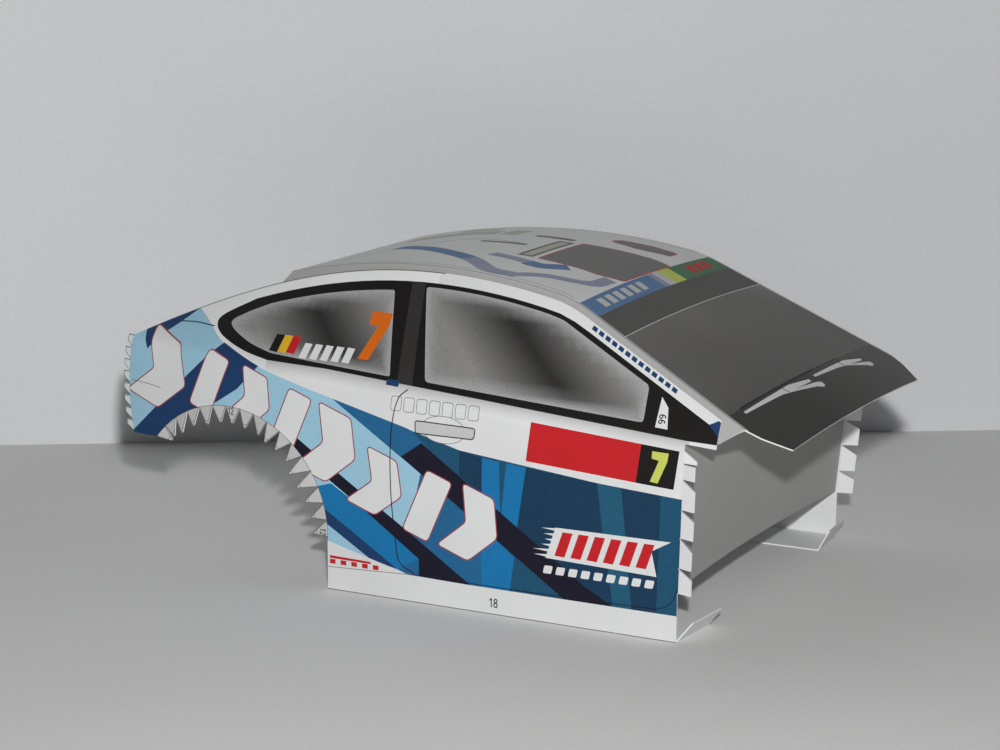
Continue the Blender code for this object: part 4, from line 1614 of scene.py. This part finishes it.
    def place(self, x: float, z: float) -> Vector:
        """Place on the car of a point of the flat sheet.

        Args:
            x: Place along the flat sheet.
            z: Height on the flat sheet.

        Returns:
            The place on the car.
        """
        sign = self.side.value
        depth = BODY.arch_radius - math.hypot(x - BODY.arch_x, z - BODY.arch_z)
        behind = BODY.tail_edge(z) - x
        ahead = x - BODY.front_edge(sign, z)
        inward = 0.0
        if depth > CUT_TOLERANCE and z > 0.0 and x < BODY.arch_front_x:
            angle = math.atan2(z - BODY.arch_z, x - BODY.arch_x)
            bend = math.radians(self.tooth_at(angle).bend)
            x, z = self.arch_point(angle, BODY.arch_radius - depth * math.cos(bend))
            inward = depth * math.sin(bend)
        elif behind > CUT_TOLERANCE:
            bend = math.radians(self.rear_tab_bend)
            x = BODY.tail_edge(z) - behind * math.cos(bend)
            inward = behind * math.sin(bend)
        elif ahead > CUT_TOLERANCE and z < FRONT_TABS[-1].top:
            nearest = min(FRONT_TABS, key=lambda tab: max(tab.bottom - z, z - tab.top, 0.0))
            spread = math.radians(nearest.spread)
            x = BODY.front_edge(sign, z) + ahead * math.cos(spread)
            inward = -ahead * math.sin(spread)
        return Vector((x, sign * (BODY.half_width(x, z) - inward), z))

    def build(self) -> bpy.types.Object:
        """Print, cut and bend the sheet.

        Returns:
            The finished piece.
        """
        livery = Livery(self.side)
        sheet = CardSheet(
            name="printed_side_" + self.side.label,
            outline=self.outline(),
            bend=self.place,
            outward=(0.0, self.side.value, 0.0),
            printed=livery.shapes() + self.bare_tabs() + livery.numbers() + livery.panel_lines(),
            creases=self.folds(),
            rims=livery.rims(),
        )
        return sheet.build("shell", "side_sheet_" + self.side.label, "printed_side_" + self.side.label)


# Roof and windscreen

@dataclass
class RoofSheet:
    """Roof and windscreen in one bent sheet, with glue flanges and a small rear flap.

    Attributes:
        flange_drop: Height of a flange once it is bent down.
        flange_flat: Width of a flange on the flat sheet.
        flange_rear_slant: How far the foot of a flange's rear end runs back.
        slant_run: Length of flange over which that slant ends.
        rear_flap_depth: Length of the rear flap.
        rear_flap_inset: Step inwards of the rear flap's end on each side.
        rear_flap_bend: Bend of the rear flap downwards, in degrees.
        flange_end_x: Place of the flanges' front ends.
        shoulder_x: Place of the free front end's corners.
        shoulder_half_width: Half width at those corners.
        scuttle_x: Place of the sheet's front edge.
        scuttle_half_width: Half width of the front edge.
        strip_top_x: Upper edge of the coloured strip on the windscreen.
        strip_foot_x: Lower edge of that strip.
    """

    flange_drop: float = 5.6
    flange_flat: float = 6.0
    flange_rear_slant: float = 3.4
    slant_run: float = 8.4
    rear_flap_depth: float = 4.0
    rear_flap_inset: float = 3.0
    rear_flap_bend: float = 65.0
    flange_end_x: float = 12.1
    shoulder_x: float = 15.5
    shoulder_half_width: float = 43.0
    scuttle_x: float = 20.5
    scuttle_half_width: float = 39.1
    strip_top_x: float = -28.8
    strip_foot_x: float = -24.0

    def half_width(self, x: float) -> float:
        """Half width at the creases, also past the pillars' feet, where the sheet runs free.

        Args:
            x: Place along the car.

        Returns:
            The half width.
        """
        x = max(x, BODY.roof_rear_x)
        if x <= self.flange_end_x:
            return BODY.roof_half_width(x)
        if x <= self.shoulder_x:
            share = (x - self.flange_end_x) / (self.shoulder_x - self.flange_end_x)
            start = BODY.roof_half_width(self.flange_end_x)
            return start + (self.shoulder_half_width - start) * share
        share = (x - self.shoulder_x) / (self.scuttle_x - self.shoulder_x)
        return self.shoulder_half_width + (self.scuttle_half_width - self.shoulder_half_width) * share

    def stations(self) -> list[float]:
        """Places along the sheet's edge.

        Returns:
            The places, closer where the roof turns into the windscreen.
        """
        start, end = BODY.header_x - BODY.header_round, BODY.header_x + BODY.header_round
        roof, header = evenly(BODY.roof_rear_x, start, 26), evenly(start, end, 10)
        return roof[:-1] + header[:-1] + evenly(end, BODY.nose_x, 10)

    def outline(self) -> list[Point]:
        """Cut edge of the flat sheet.

        Returns:
            Its points.
        """
        rear = BODY.roof_rear_x
        half = [
            (rear - self.rear_flap_depth, self.half_width(rear) - self.rear_flap_inset),
            (rear, self.half_width(rear)),
            *((x, self.half_width(x) + self.flange_flat) for x in self.stations()),
            (self.flange_end_x, self.half_width(self.flange_end_x)),
            (self.shoulder_x, self.shoulder_half_width),
            (self.scuttle_x, self.scuttle_half_width),
        ]
        return half + [(x, -y) for x, y in reversed(half)]

    def place(self, x: float, y: float) -> Vector:
        """Place on the car of a point of the flat sheet.

        Args:
            x: Place along the flat sheet.
            y: Place across it.

        Returns:
            The place on the car.
        """
        width = self.half_width(x)
        if x < BODY.roof_rear_x - CUT_TOLERANCE:
            beyond = BODY.roof_rear_x - x
            bend = math.radians(self.rear_flap_bend)
            base = self.place(BODY.roof_rear_x, min(max(y, -width), width))
            return base - Vector((beyond * math.cos(bend), 0.0, beyond * math.sin(bend)))
        share = min(max(y / width, -1.0), 1.0)
        crease = Vector((x, share * width, BODY.roof_line(x) + BODY.crown(x) * (1 - share ** 2)))
        past = abs(y) - width
        if past <= CUT_TOLERANCE:
            return crease
        sign = 1 if y > 0 else -1
        slant = max(1 - (x - BODY.roof_rear_x) / self.slant_run, 0.0)
        low_x = x - self.flange_rear_slant * slant
        low_z = BODY.roof_line(x) - self.flange_drop
        low_y = BODY.half_width(low_x, low_z) - BODY.seat(low_x) - BODY.card * min(slant, 1.0)
        low = Vector((low_x, sign * low_y, low_z))
        return crease.lerp(low, past / self.flange_flat)

    def across(self, x: float, share: float) -> Point:
        """Point at a share of the half width."""
        return (x, share * self.half_width(x))

    def band(self, ink: Ink, x0: float, x1: float, share0: float, share1: float) -> PrintedShape:
        """Band across the sheet between two places along it and two shares of its half width."""
        return PrintedShape(ink, [self.across(x0, share0), self.across(x1, share0),
                                  self.across(x1, share1), self.across(x0, share1)])

    def sun_strip(self) -> list[PrintedShape]:
        """Coloured strip along the top of the windscreen, with small pale and red blocks on it.

        Returns:
            The shapes of ink.
        """
        bands = ((Ink.STRIP_BLUE, -1.0, -0.02), (Ink.MAUVE, -0.02, 0.05), (Ink.PALE_GREY, 0.05, 0.14),
                 (Ink.LIME, 0.14, 0.30), (Ink.GREEN, 0.30, 1.0))
        shapes = [self.band(ink, self.strip_top_x, self.strip_foot_x, *shares) for ink, *shares in bands]
        pale = [(-25.2, 0.0), (-25.2, 2.5), (-27.8, 2.9), (-27.8, 0.4)]
        red = [(-25.2, 0.0), (-25.2, 2.9), (-27.9, 3.3), (-27.9, 0.4)]
        shapes += [PrintedShape(Ink.PALE_GREY, copy) for copy in in_row(pale, (0.0, -29.2), (0.0, 3.9), 6)]
        return shapes + [PrintedShape(Ink.RED, copy) for copy in in_row(red, (0.0, 17.4), (0.0, 4.2), 3)]

    def windscreen(self) -> list[PrintedShape]:
        """Dark glass from the sun strip to the free end, with a fine line and two wipers.

        Returns:
            The shapes of ink.
        """
        edge = BODY.nose_x + 0.8
        half = [(self.flange_end_x, self.half_width(self.flange_end_x)), (15.5, 43.5), (21.0, 39.5)]
        free = [(x, -y) for x, y in half] + half[::-1]
        shapes = [
            self.band(Ink.SCREEN, self.strip_foot_x, edge, -1.0, 1.0),
            PrintedShape(Ink.SCUTTLE, [self.across(edge, -1.0), *free, self.across(edge, 1.0)]),
        ]
        shapes += stroke(Ink.BLACK, [self.across(edge, -0.84), self.across(edge, 0.10)], 0.45)
        shapes += stroke(Ink.BLACK, [self.across(edge, 0.10), self.across(edge, 0.45)], 0.2)
        shapes += stroke(Ink.PALE_GREY, [self.across(-17.3, -0.99), self.across(-17.1, 0.99)], 0.22)
        near = [(8.9, -37.0), (9.5, -37.0), (9.9, -17.7), (10.5, -12.6), (11.9, -2.4), (12.7, -0.5),
                (12.4, 0.9), (11.4, 1.3), (10.9, -0.8), (10.4, -7.1), (10.2, -12.0), (10.3, -1.9),
                (9.6, -1.6), (8.6, -11.4), (8.7, -17.6)]
        far = [(9.2, 1.8), (9.8, 1.8), (10.2, 15.2), (10.6, 19.9), (12.5, 27.6), (13.2, 29.1), (13.0, 30.7),
               (12.0, 30.9), (11.6, 29.0), (11.1, 25.4), (10.6, 21.5), (10.9, 28.7), (10.3, 28.9),
               (9.1, 21.3), (9.1, 16.0)]
        for wiper, joint in ((near, (8.6, -15.0)), (far, (9.0, 18.0))):
            shapes.append(PrintedShape(Ink.WHITE, wiper))
            shapes += stroke(Ink.FRAME_GREY, [joint, (joint[0] + 1.5, joint[1] + 0.6)], 0.3)
        return shapes

    def roof_marks(self) -> list[PrintedShape]:
        """Plain bands, blocks, hatch and slot on the roof.

        Returns:
            The shapes of ink.
        """
        wave = smooth_path([(-86.6, -6.7), (-70.3, -16.1), (-60.5, -22.1), (-52.7, -28.8), (-46.8, -29.5)])
        tail = smooth_path([(-46.8, -29.5), (-41.8, -25.3), (-32.7, -22.0), (-31.2, -15.0)])
        loop = smooth_path([(-58.5, -15.0), (-52.1, -16.6), (-46.0, -18.4), (-41.6, -15.4)])
        thin = smooth_path([(-95.0, -20.0), (-84.0, -8.0), (-72.0, 2.0), (-60.0, 0.5)])
        lines = ((Ink.STRIP_BLUE, wave[:11], 4.0), (Ink.MAUVE, wave[10:], 4.0), (Ink.MAUVE, tail, 3.0),
                 (Ink.MAUVE, loop[:9], 3.2), (Ink.STRIP_BLUE, loop[8:], 4.2), (Ink.LINE_GREY, thin, 0.35))
        blocks = ((Ink.LINE_GREY, (-69.2, -1.6, 11.4, 1.8)), (Ink.OLIVE, (-71.0, 11.0, 4.6, 9.4)),
                  (Ink.LINE_GREY, (-61.8, 11.2, 9.6, 2.4)), (Ink.LINE_GREY, (-54.4, -12.4, 3.8, 21.4)),
                  (Ink.OLIVE, (-53.6, -11.2, 2.2, 19.0)))
        hatch = [(-49.2, 10.6), (-39.9, 12.0), (-28.9, 12.6), (-29.2, -11.6), (-33.5, -14.1), (-39.2, -13.2),
                 (-49.2, -12.7)]
        slot = [(-47.0, 21.1), (-45.6, 24.2), (-38.4, 25.5), (-32.4, 25.0), (-32.3, 19.9), (-39.5, 17.9),
                (-45.6, 19.3)]
        bands = ((-95.0, -72.0, 0.34, 0.60), (-86.0, -76.0, 0.68, 0.84))
        shapes = [self.band(Ink.OLIVE, *band) for band in bands]
        shapes += [shape for line in lines for shape in stroke(*line)]
        shapes += [PrintedShape(ink, box_outline(*place)) for ink, place in blocks]
        shapes += stroke(Ink.WHITE, [(-49.8, -12.9), (-49.8, 10.9)], 0.5)
        for opening in (rounded(hatch, 0.8), rounded(slot, 1.0)):
            shapes.append(PrintedShape(Ink.HATCH, opening))
            shapes += stroke(Ink.RED, closed(opening), 0.3)
        return shapes

    def flanges(self) -> list[PrintedShape]:
        """Glue flanges along both edges, bare card darkened with painted shade, with the pale margin and the
        fine line beside them.

        Returns:
            The shapes of ink.
        """
        margin_inset, gutter_inset, bleed = 0.35, 1.7, 1.0
        stations = (*self.stations(), self.flange_end_x + 0.4)
        shapes = []
        for side in (-1, 1):
            crease = [(x, side * self.half_width(min(x, self.flange_end_x))) for x in stations]
            edge = [(x, y + side * (self.flange_flat + bleed)) for x, y in reversed(crease)]
            margin = [(x, y - side * margin_inset) for x, y in crease if x > BODY.header_x]
            gutter = [(x, y - side * gutter_inset) for x, y in crease if x < BODY.header_x]
            # Painted shade on the bent-down flange
            shapes.append(PrintedShape(Ink.SHADED_CARD, crease + edge))
            shapes += stroke(Ink.LINE_GREY, crease, 0.14)
            shapes += stroke(Ink.PALE_GREY, margin, 0.45)
            shapes += stroke(Ink.LINE_GREY, gutter, 0.16)
        return shapes

    def build(self) -> bpy.types.Object:
        """Print, cut and bend the sheet.

        Returns:
            The finished piece.
        """
        rows = [[(x, self.half_width(x) * side) for x in self.stations()] for side in (-1, 1)]
        turns = [x for x in self.stations() if abs(x - BODY.header_x) < BODY.header_round + 1]
        header = [[self.across(x, share) for share in evenly(-1, 1, 12)] for x in turns]
        rear = [self.across(BODY.roof_rear_x, share) for share in evenly(-1, 1, 24)]
        sheet = CardSheet(
            name="printed_roof_and_screen",
            outline=self.outline(),
            bend=self.place,
            outward=(0.0, 0.0, 1.0),
            printed=self.roof_marks() + self.sun_strip() + self.windscreen() + self.flanges(),
            creases=[*rows, *header, rear],
        )
        return sheet.build("shell", "roof_screen_sheet", "printed_roof")


# Plain pieces

@dataclass
class Bulkhead:
    """Plain sheet across the front, bowed backwards, its flanges glued inside the sides.

    Attributes:
        setback: Distance of the folds behind the sides' front edges.
        foot_z: Height of the lower edge.
        bow: How far the middle lies behind the folds.
        flange: Width of a flange.
        flange_slant: Height lost at each end of a flange, from its root to its edge.
        shoulder_inset: Step inwards above the flanges.
        top_gap: Gap under the windscreen.
        fold_end: How far below the belt's height at the doors the folds end.
        pitch: Distance between the points that let the sheet bend.
    """

    setback: float = 0.3
    foot_z: float = 10.7
    bow: float = 1.8
    flange: float = 4.0
    flange_slant: float = 1.5
    shoulder_inset: float = 1.6
    top_gap: float = 0.9
    fold_end: float = 0.6
    pitch: float = 3.4

    @property
    def fold(self) -> float:
        """Half width between the folds of the flanges."""
        return BODY.sill_half_width - BODY.card - BODY.glue_gap

    def top(self, share: float) -> float:
        """Height at which the leaning sheet comes up under the windscreen.

        Args:
            share: Place across the car, from -1 on the right to 1 on the left.

        Returns:
            The height.
        """
        rise = BODY.screen_slope * BODY.front_lean(share)
        screen = BODY.roof_line(BODY.front_foot_x) - self.top_gap - BODY.card
        return (screen + rise * self.foot_z) / (1 + rise)

    def place(self, across: float, z: float) -> Vector:
        """Place on the car of a point of the flat sheet.

        Args:
            across: Place across the flat sheet.
            z: Height on it.

        Returns:
            The place on the car.
        """
        share = min(max(across / self.fold, -1.0), 1.0)
        past = max(abs(across) - self.fold, 0.0)
        x = BODY.front_edge(share, z) - self.setback - self.bow * (1 - share ** 2) - past
        return Vector((x, share * self.fold, z))

    def outline(self) -> list[Point]:
        """Cut edge of the flat sheet.

        Returns:
            Its points.
        """
        shoulder_z = BODY.belt_height(BODY.front_foot_x) - BODY.glue_gap
        halves = []
        for share in (-1, 1):
            top_z = self.top(share)
            top_x = BODY.front_edge(share, top_z)
            top = BODY.half_width(top_x, top_z) - BODY.seat(top_x) - self.shoulder_inset
            half = [
                (self.fold, self.foot_z),
                (self.fold + self.flange, self.foot_z + self.flange_slant),
                (self.fold + self.flange, shoulder_z - self.flange_slant),
                (self.fold, shoulder_z),
                (self.fold - self.shoulder_inset, shoulder_z),
                (top, top_z),
            ]
            halves.append([(share * across, z) for across, z in half])
        return halves[0] + halves[1][::-1]

    def build(self) -> bpy.types.Object:
        """Cut and bend the sheet.

        Returns:
            The finished piece.
        """
        outline = self.outline()
        ends = (self.foot_z, BODY.belt_z - self.fold_end)
        sheet = CardSheet(
            name="plain_bulkhead",
            outline=outline,
            bend=self.place,
            outward=(1.0, 0.0, 0.0),
            # The whole bulkhead is darkened with painted shade
            printed=[PrintedShape(Ink.SHADED_CARD, outline)],
            creases=[[(side * self.fold, z) for z in ends] for side in (-1, 1)],
            pitch=self.pitch,
        )
        return sheet.build("shell", "front_bulkhead", "plain_card")


@dataclass
class SillFlap:
    """Plain glue flap folded inwards on the table, with a front tab that curls up.

    Attributes:
        side: The side of the car.
        curl: How far the front tab has turned up, in degrees.
        width: Width of the flap.
        front_reach: Place of the flap's inner front corner.
        rear_slant: How far the rear edge's inner end lies ahead of its outer end.
        end_gap: Gap at each end of the crease.
        tab_length: Length of the front tab.
        tab_slant: Step inwards of the tab's two corners.
        margin: Share of the way to the tab's middle at which its outline is printed.
        margin_line: Width of that outline.
        pitch: Distance between the points that let the sheet bend.
    """

    side: Side
    curl: float
    width: float = 14.1
    front_reach: float = 0.6
    rear_slant: float = 4.0
    end_gap: float = 0.2
    tab_length: float = 5.2
    tab_slant: float = 0.6
    margin: float = 0.09
    margin_line: float = 0.12
    pitch: float = 3.4

    @property
    def fold(self) -> float:
        """Half width of the car at the flap's crease."""
        return BODY.sill_half_width - BODY.card - BODY.hinge_gap

    def tab_frame(self) -> tuple[Vector, Vector, Vector, Vector]:
        """Line at which the front tab turns up.

        Returns:
            Its two ends, the direction along it and the direction ahead of it.
        """
        root = Vector((BODY.front_foot_x - self.end_gap, 0.0))
        end = Vector((self.front_reach, self.width))
        along = (end - root).normalized()
        return root, end, along, Vector((along.y, -along.x))

    def place(self, x: float, inward: float) -> Vector:
        """Place on the car of a point of the flat flap.

        Args:
            x: Place along the flat flap.
            inward: Distance from the crease.

        Returns:
            The place on the car.
        """
        root, _, _, ahead = self.tab_frame()
        beyond = (Vector((x, inward)) - root).dot(ahead)
        height = BODY.card
        if beyond > CUT_TOLERANCE:
            angle = math.radians(self.curl)
            flat = Vector((x, inward)) - ahead * beyond * (1 - math.cos(angle))
            x, inward = flat
            height += beyond * math.sin(angle)
        return Vector((x, self.side.value * (self.fold - inward), height))

    def build(self) -> bpy.types.Object:
        """Cut and bend the flap.

        Returns:
            The finished piece.
        """
        root, end, along, ahead = self.tab_frame()
        rear = BODY.arch_front_x + self.end_gap
        near = root + along * self.tab_slant + ahead * self.tab_length
        far = end - along * self.tab_slant + ahead * self.tab_length
        corners = [(rear, 0.0), root, near, far, end, (rear + self.rear_slant, self.width)]
        outline = [tuple(corner) for corner in corners]
        middle = (root + end + near + far) / 4
        margin = [tuple(corner.lerp(middle, self.margin)) for corner in (root, near, far, end)]
        rim = stroke(Ink.LINE_GREY, closed(margin), self.margin_line)
        sheet = CardSheet(
            name="plain_sill_flap_" + self.side.label,
            outline=outline,
            bend=self.place,
            outward=(0.0, 0.0, 1.0),
            printed=[PrintedShape(Ink.CARD, outline), *rim],
            creases=[[tuple(root), tuple(end)]],
            pitch=self.pitch,
        )
        return sheet.build("flap_" + self.side.label, "sill_flap_" + self.side.label, "plain_flap")


# Table, backdrop, light and camera

def door_edge() -> float:
    """Place of the doors' front edge in the frame, in metres."""
    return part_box("roof_screen_sheet")[1][0] - RoofSheet.scuttle_x * MM


@dataclass
class Studio:
    """Pale table and backdrop, soft lamps and the camera.

    Attributes:
        camera_place: Place of the camera from the doors' front edge.
        azimuth: Direction of view round the car, in degrees.
        elevation: Angle of the view down, in degrees.
        roll: Roll of the camera, in degrees.
        lens: Focal length.
        sensor: Width of the sensor.
        near_clip: Nearest distance that the camera sees, in metres.
        floor_colour: Colour of the table.
        wall_colour: Colour of the backdrop.
        wall_distance: Distance of the backdrop from the middle of the car.
        table_reach: Half the table's side, in metres.
        wall_reach: Half the backdrop's side, in metres.
        wall_turn: Turn of the backdrop about Z, in degrees.
        aim: Point that the lamps shine at, in metres.
        key_right: How far the key lamp stands to the right of the camera.
        key_up: How far it stands above the camera.
        key_size: Side of the key lamp, in metres.
        key_power: Power of the key lamp, in watts.
        ceiling_place: Place of the ceiling lamp, in metres.
        ceiling_size: Side of the ceiling lamp, in metres.
        ceiling_power: Power of the ceiling lamp, in watts.
        room_level: Brightness of the room's light.
        far_level: Brightness that the camera sees past the table and the backdrop.
    """

    camera_place: tuple[float, float, float] = (197.068, -515.940, 159.723)
    azimuth: float = 26.89106
    elevation: float = 11.66423
    roll: float = 0.47401
    lens: float = 94.32
    sensor: float = 36.0
    near_clip: float = 0.01
    floor_colour: Colour = (0.83, 0.83, 0.82)
    wall_colour: Colour = (0.86, 0.87, 0.885)
    wall_distance: float = 114.4
    table_reach: float = 0.60
    wall_reach: float = 1.6
    wall_turn: float = 32.8
    aim: tuple[float, float, float] = (0.0, 0.0, 0.03)
    key_right: float = 12.0
    key_up: float = 58.0
    key_size: float = 0.016
    key_power: float = 2.19
    ceiling_place: tuple[float, float, float] = (-0.10, -0.05, 0.85)
    ceiling_size: float = 0.7
    ceiling_power: float = 0.13
    room_level: float = 0.026
    far_level: float = 0.50

    def add_lamp(self, name: str, place: Vector, size: float, power: float) -> bpy.types.Object:
        """Add an area lamp.

        Args:
            name: Name of the lamp.
            place: Its place in metres.
            size: Side of its square, in metres.
            power: Its power in watts.

        Returns:
            The lamp.
        """
        data = bpy.data.lights.new(name, "AREA")
        data.energy = power
        data.size = size
        lamp = bpy.data.objects.new(name, data)
        bpy.context.scene.collection.objects.link(lamp)
        turn = (Vector(self.aim) - place).to_track_quat("-Z", "Y")
        lamp.matrix_world = Matrix.Translation(place) @ turn.to_matrix().to_4x4()
        return lamp

    def camera_axes(self) -> tuple[Vector, Vector, Vector]:
        """Directions of the camera.

        Returns:
            Its right, its up and its forward direction.
        """
        azimuth, elevation, roll = (math.radians(v) for v in (self.azimuth, self.elevation, self.roll))
        ahead = math.cos(elevation)
        forward = Vector((-math.sin(azimuth) * ahead, math.cos(azimuth) * ahead, -math.sin(elevation)))
        level = Vector((math.cos(azimuth), math.sin(azimuth), 0.0))
        up = level.cross(forward)
        right = math.cos(roll) * level + math.sin(roll) * up
        return right, math.cos(roll) * up - math.sin(roll) * level, forward

    def add_camera(self) -> None:
        """Add the camera."""
        right, up, forward = self.camera_axes()
        data = bpy.data.cameras.new("camera")
        data.lens = self.lens
        data.sensor_width = self.sensor
        data.clip_start = self.near_clip
        camera = bpy.data.objects.new("camera", data)
        bpy.context.scene.collection.objects.link(camera)
        place = Vector(self.camera_place) * MM + Vector((door_edge(), 0.0, 0.0))
        camera.matrix_world = Matrix.Translation(place) @ Matrix((right, up, -forward)).transposed().to_4x4()
        bpy.context.scene.camera = camera

    def add_plane(self, name: str, size: float, colour: Colour) -> bpy.types.Object:
        """Add the table or the backdrop, which isn't part of the object.

        Args:
            name: Name of the square and of its material.
            size: Half its side, in metres.
            colour: Its colour.

        Returns:
            The square.
        """
        mesh = bpy.data.meshes.new(name)
        shape = bmesh.new()
        bmesh.ops.create_grid(shape, x_segments=1, y_segments=1, size=size)
        shape.to_mesh(mesh)
        shape.free()
        finish = CardFinish(colour, mottle=0.02, roughness=0.9, dots_per_metre=900.0, cloud_per_metre=6.0)
        mesh.materials.append(finish.make(name))
        plane = bpy.data.objects.new(name, mesh)
        bpy.context.scene.collection.objects.link(plane)
        return plane

    def clear_from_behind(self, material: bpy.types.Material) -> None:
        """Make a surface clear from its back, and let the lamps' light through it.

        Args:
            material: Material of the surface.
        """
        tree = material.node_tree
        shader, output = tree.nodes["Principled BSDF"], tree.nodes["Material Output"]
        mix, clear = tree.nodes.new("ShaderNodeMixShader"), tree.nodes.new("ShaderNodeMath")
        clear.operation = "MAXIMUM"
        links = (
            (tree.nodes.new("ShaderNodeNewGeometry").outputs["Backfacing"], clear.inputs[0]),
            (tree.nodes.new("ShaderNodeLightPath").outputs["Is Shadow Ray"], clear.inputs[1]),
            (clear.outputs["Value"], mix.inputs["Fac"]),
            (shader.outputs["BSDF"], mix.inputs[1]),
            (tree.nodes.new("ShaderNodeBsdfTransparent").outputs["BSDF"], mix.inputs[2]),
            (mix.outputs["Shader"], output.inputs["Surface"]),
        )
        for source, target in links:
            tree.links.new(source, target)

    def add_room(self) -> None:
        """Add the room's low light, which shows as a pale grey past the table and the backdrop."""
        world = bpy.data.worlds.new("room")
        world.use_nodes = True
        tree = world.node_tree
        mix = tree.nodes.new("ShaderNodeMix")
        mix.data_type = "RGBA"
        tree.links.new(tree.nodes.new("ShaderNodeLightPath").outputs["Is Camera Ray"], mix.inputs["Factor"])
        mix.inputs[6].default_value = (*[self.room_level] * 3, 1.0)
        mix.inputs[7].default_value = (*[self.far_level] * 3, 1.0)
        tree.links.new(mix.outputs[2], tree.nodes["Background"].inputs["Color"])
        bpy.context.scene.world = world

    def build(self) -> None:
        """Set up the whole studio."""
        self.add_camera()
        self.add_plane("table", self.table_reach, self.floor_colour)
        wall = self.add_plane("backdrop", self.wall_reach, self.wall_colour)
        turn = Matrix.Rotation(math.radians(self.wall_turn), 4, "Z")
        away = turn @ Vector((0.0, self.wall_distance * MM, 0.0))
        wall.matrix_world = Matrix.Translation(away) @ turn @ Matrix.Rotation(math.radians(90), 4, "X")
        self.clear_from_behind(wall.data.materials[0])
        right, up, _ = self.camera_axes()
        beside = Vector(self.camera_place) + right * self.key_right + up * self.key_up
        key_place = beside * MM + Vector((door_edge(), 0.0, 0.0))
        self.add_lamp("key", key_place, self.key_size, self.key_power)
        self.add_lamp("ceiling", Vector(self.ceiling_place), self.ceiling_size, self.ceiling_power)
        self.add_room()
        bpy.context.scene.view_settings.view_transform = "Standard"


# How far the front tab of each sill flap has curled up, in degrees
TAB_CURL: dict[Side, float] = {Side.RIGHT: 52.0, Side.LEFT: 63.0}


def main() -> None:
    """Build every piece of card and the studio round them."""
    logging.basicConfig(level=logging.INFO, format="%(name)s: %(message)s")
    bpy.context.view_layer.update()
    Studio().build()
    pieces = []
    for side, curl in TAB_CURL.items():
        pieces += [SideSheet(side).build(), SillFlap(side, curl).build()]
    pieces += [RoofSheet().build(), Bulkhead().build()]
    for piece in pieces:
        LOG.info("%s: %d faces", piece.name, len(piece.data.polygons))


if __name__ == "__main__":
    main()
